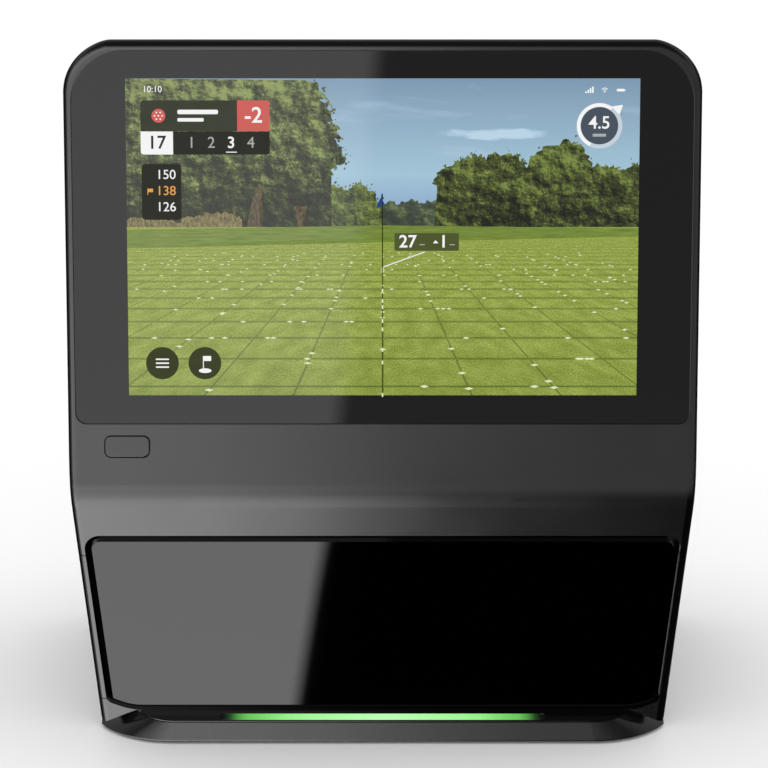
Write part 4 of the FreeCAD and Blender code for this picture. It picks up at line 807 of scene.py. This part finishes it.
def aim_panel(tones):
    """Distance and rise of the aim line, each with a plain bar for its unit."""
    middle, numeral, weight = 0.488, 0.040, 0.015
    olive = glass_panel_light("overlay_olive", srgb(78, 87, 47), srgb(92, 104, 54), 0.4)
    sheet_object("overlay_aim_panel", [rounded_ring(0.523, 0.460, 0.649, 0.516, 0.003)], BASE, olive)
    label("overlay_aim_distance", "27", 0.549, middle, numeral, TOP, tones["white"], bold=weight)
    label("overlay_aim_rise", "1", 0.619, middle, numeral, TOP, tones["white"], bold=weight)
    arrow = [(0.598, 0.484), (0.609, 0.484), (0.6035, 0.494)]
    sheet_object("overlay_rise_arrow", [arrow], TOP, tones["white"])
    units = [rectangle_ring(0.572, 0.478, 0.582, 0.481), rectangle_ring(0.631, 0.478, 0.641, 0.481)]
    sheet_object("overlay_unit_marks", units, TOP, tones["grey"])


def round_buttons(tones):
    """Menu and green buttons at the lower left."""
    menu_u, green_u, middle, radius = 0.0665, 0.150, 0.103, 0.0322
    moss = glass_panel_light("overlay_moss", srgb(60, 64, 42), srgb(74, 80, 48), 0.4)
    buttons = [disc_ring(u, middle, radius) for u in (menu_u, green_u)]
    sheet_object("overlay_round_buttons", buttons, BASE, moss)
    half_long, half_thick, pitch = 0.013, 0.0024, 0.0125
    bars = [middle + pitch * k for k in (-1, 0, 1)]
    menu = [rounded_ring(menu_u - half_long, v - half_thick, menu_u + half_long, v + half_thick, 0.001)
            for v in bars]
    sheet_object("overlay_menu_icon", menu, TOP, tones["white"])
    turns = [2 * math.pi * k / 28 for k in range(28)]
    foot = [(0.1505 + 0.0125 * math.cos(a), 0.079 + 0.0075 * math.sin(a)) for a in turns]
    icon = [rectangle_ring(0.1462, 0.082, 0.1480, 0.126),
            rounded_ring(0.1480, 0.110, 0.1625, 0.126, 0.0015), foot]
    sheet_object("overlay_green_icon", icon, TOP, tones["white"])


def wind_dial(tones):
    """Wind speed in a rimmed dial with an arrow at its edge."""
    u, v, inner, outer = 0.9215, 0.853, 0.0365, 0.0445
    dial = flat_light("overlay_dial", srgb(74, 84, 96))
    rim = flat_light("overlay_dial_rim", srgb(198, 210, 220))
    sheet_object("overlay_wind_dial", [disc_ring(u, v, inner)], BASE, dial)
    sheet_object("overlay_wind_rim", band_rings(u, v, inner, outer, 0, 360, 64), TOP, rim)
    lit_part = band_rings(u, v, inner + 0.0007, outer - 0.0007, 55, 245, 50)
    sheet_object("overlay_wind_rim_light", lit_part, TOP + 1, tones["white"])
    arrow = [(u + 0.0235, v + 0.060), (u + 0.0455, v + 0.0655), (u + 0.0385, v + 0.034)]
    sheet_object("overlay_wind_arrow", [arrow], TOP + 2, tones["white"])
    label("overlay_wind_speed", "4.5", u, v + 0.008, 0.040, TOP, tones["white"], bold=0.010)
    bar = rounded_ring(u - 0.013, v - 0.034, u + 0.013, v - 0.025, 0.001)
    sheet_object("overlay_wind_bar", [bar], TOP, tones["grey"])


def status_icons(tones):
    """Signal bars, wireless arcs, a battery and the time along the top edge."""
    u, v = 0.9310, 0.9575
    icons = band_rings(u, v, 0.0075, 0.0088, 45, 135, 10)
    icons += band_rings(u, v, 0.0048, 0.0060, 45, 135, 10)
    icons.append(disc_ring(u, v + 0.002, 0.0017, 12))
    icons.append(rounded_ring(0.9545, 0.960, 0.9695, 0.968, 0.0012))
    icons.append(rectangle_ring(0.9695, 0.962, 0.971, 0.966))
    icons += [rectangle_ring(0.893 + 0.0045 * k, 0.955, 0.896 + 0.0045 * k, 0.960 + 0.005 * k)
              for k in range(4)]
    sheet_object("overlay_status_icons", icons, TOP, tones["white"])
    label("overlay_clock", "10:10", 0.0525, 0.966, 0.020, TOP, tones["white"], bold=0.006)


def overlays():
    """All panels, numerals and icons over the picture."""
    tones = overlay_tones()
    dark = glass_panel_light("overlay_dark", srgb(50, 50, 45), srgb(56, 56, 50), 0.3)
    player_row(tones)
    shot_row(tones, dark)
    distance_panel(tones, dark)
    aim_panel(tones)
    round_buttons(tones)
    wind_dial(tones)
    status_icons(tones)


# ---- room, light and camera ----------------------------------------------------------------------------
CAMERA_DISTANCE = 1.498
CAMERA_ELEVATION = math.radians(17.94)
CAMERA_PITCH = math.radians(20.31)
CAMERA_SHIFT = 0.00055        # to the right of the middle
LENS = 165.3
SENSOR_WIDTH = 36.0
FLOOR_HALF_SIZE = 6.0


def make_camera():
    """Long lens a little above the screen, looking down at it."""
    data = bpy.data.cameras.new("camera")
    data.lens = LENS
    data.sensor_width = SENSOR_WIDTH
    obj = bpy.data.objects.new("camera", data)
    scene.collection.objects.link(obj)
    away = Vector((0, -math.cos(CAMERA_ELEVATION), math.sin(CAMERA_ELEVATION)))
    obj.location = picture_middle + away * CAMERA_DISTANCE + across * CAMERA_SHIFT
    obj.rotation_euler = (math.pi / 2 - CAMERA_PITCH, 0, 0)
    scene.camera = obj


def make_floor():
    """Pale matt floor, seen by the camera alone."""
    mesh = bpy.data.meshes.new("floor")
    bm = bmesh.new()
    bmesh.ops.create_grid(bm, x_segments=8, y_segments=8, size=FLOOR_HALF_SIZE)
    bm.to_mesh(mesh)
    bm.free()
    floor = bpy.data.objects.new("floor", mesh)
    scene.collection.objects.link(floor)
    m = Mat("floor")
    m.set(Base_Color=m.mix(m.noise(3.0, 3.0), (0.93, 0.93, 0.93, 1), (0.96, 0.96, 0.96, 1)))
    m.set(Roughness=0.9, Specular_IOR_Level=0.0)
    mesh.materials.append(m.m)
    floor.visible_glossy = False
    floor.visible_diffuse = False


def make_overhead_light():
    """Wide, soft light from above and behind."""
    side, height, back, power = 1.6, 1.9, 0.3, 5.0
    data = bpy.data.lights.new("overhead", "AREA")
    data.shape = "RECTANGLE"
    data.size = side
    data.size_y = side
    data.energy = power
    obj = bpy.data.objects.new("overhead", data)
    scene.collection.objects.link(obj)
    obj.location = (0.0, back, height)
    obj.rotation_euler = (-obj.location).to_track_quat("-Z", "Y").to_euler()
    obj.visible_glossy = False


# Brightness of the wall on the left, of the dim room on the right, and of what is behind the object.
# Each runs from straight down, 0, to straight up, 1.
WALL_TONES = [(0.0, 3.2), (0.22, 3.2), (0.34, 2.1), (0.42, 2.0), (0.50, 1.48), (0.56, 1.42),
              (0.72, 1.9), (0.8, 0.9), (0.88, 0.1), (1.0, 0.03)]
ROOM_TONES = [(0.0, 0.0), (0.28, 0.0), (0.38, 0.25), (0.45, 0.44), (0.50, 0.34), (0.56, 0.32),
              (0.72, 0.4), (0.8, 0.15), (0.88, 0.04), (1.0, 0.02)]
BACK_TONES = [(0.0, 0.0), (0.5, 0.03), (0.66, 0.07), (0.76, 0.42), (0.86, 0.3), (1.0, 0.05)]


def make_world():
    """White to the eye and as soft light; in reflections, a dim room with a bright wall on its left."""
    world = bpy.data.worlds.new("studio")
    scene.world = world
    world.use_nodes = True
    w = Nodes(world.node_tree, "Generated")
    x, y, z = w.split()
    forward = w.math("MAXIMUM", w.math("ABSOLUTE", y), 0.02)
    slant = w.math("DIVIDE", x, forward)
    # The wall's edge leans left towards the floor: one slope about eye level, one near the floor.
    eye_level = w.math("MINIMUM", w.math("MAXIMUM", z, -0.05), 0.12)
    high_edge = w.math("MULTIPLY_ADD", eye_level, 0.105, -0.0114)
    low_edge = w.math("MULTIPLY_ADD", w.math("MINIMUM", z, -0.64), 0.371, 0.2292)
    is_low = w.math("LESS_THAN", z, -0.35)
    edge = w.math("MULTIPLY_ADD", is_low, w.math("SUBTRACT", low_edge, high_edge), high_edge)
    past = w.math("SUBTRACT", slant, edge)
    left = w.ramp(w.math("MULTIPLY_ADD", past, -140.0, 0.5), [(0.1, 0.0), (0.9, 1.0)])
    height = w.math("MULTIPLY_ADD", z, 0.5, 0.5)
    front = w.ramp(w.math("MULTIPLY_ADD", y, -0.5, 0.5), [(0.40, 0.0), (0.62, 1.0)])
    # The wall fades out far round to the side.
    wall_share = w.ramp(w.math("MULTIPLY", slant, -0.2), [(0.3, 1.0), (0.7, 0.2)])
    wall = w.mix(wall_share, (0, 0, 0, 1), w.ramp(height, WALL_TONES))
    room = w.mix(left, w.ramp(height, ROOM_TONES), wall)
    studio = w.mix(front, w.ramp(height, BACK_TONES), room)
    glossy = w.n.new("ShaderNodeLightPath").outputs["Is Glossy Ray"]
    background = w.n["Background"]
    w.l.new(w.mix(glossy, (1, 1, 1, 1), studio), background.inputs["Color"])


make_camera()
paint_nodes(make_materials())
scenery()
green()
overlays()
make_floor()
make_world()
make_overhead_light()
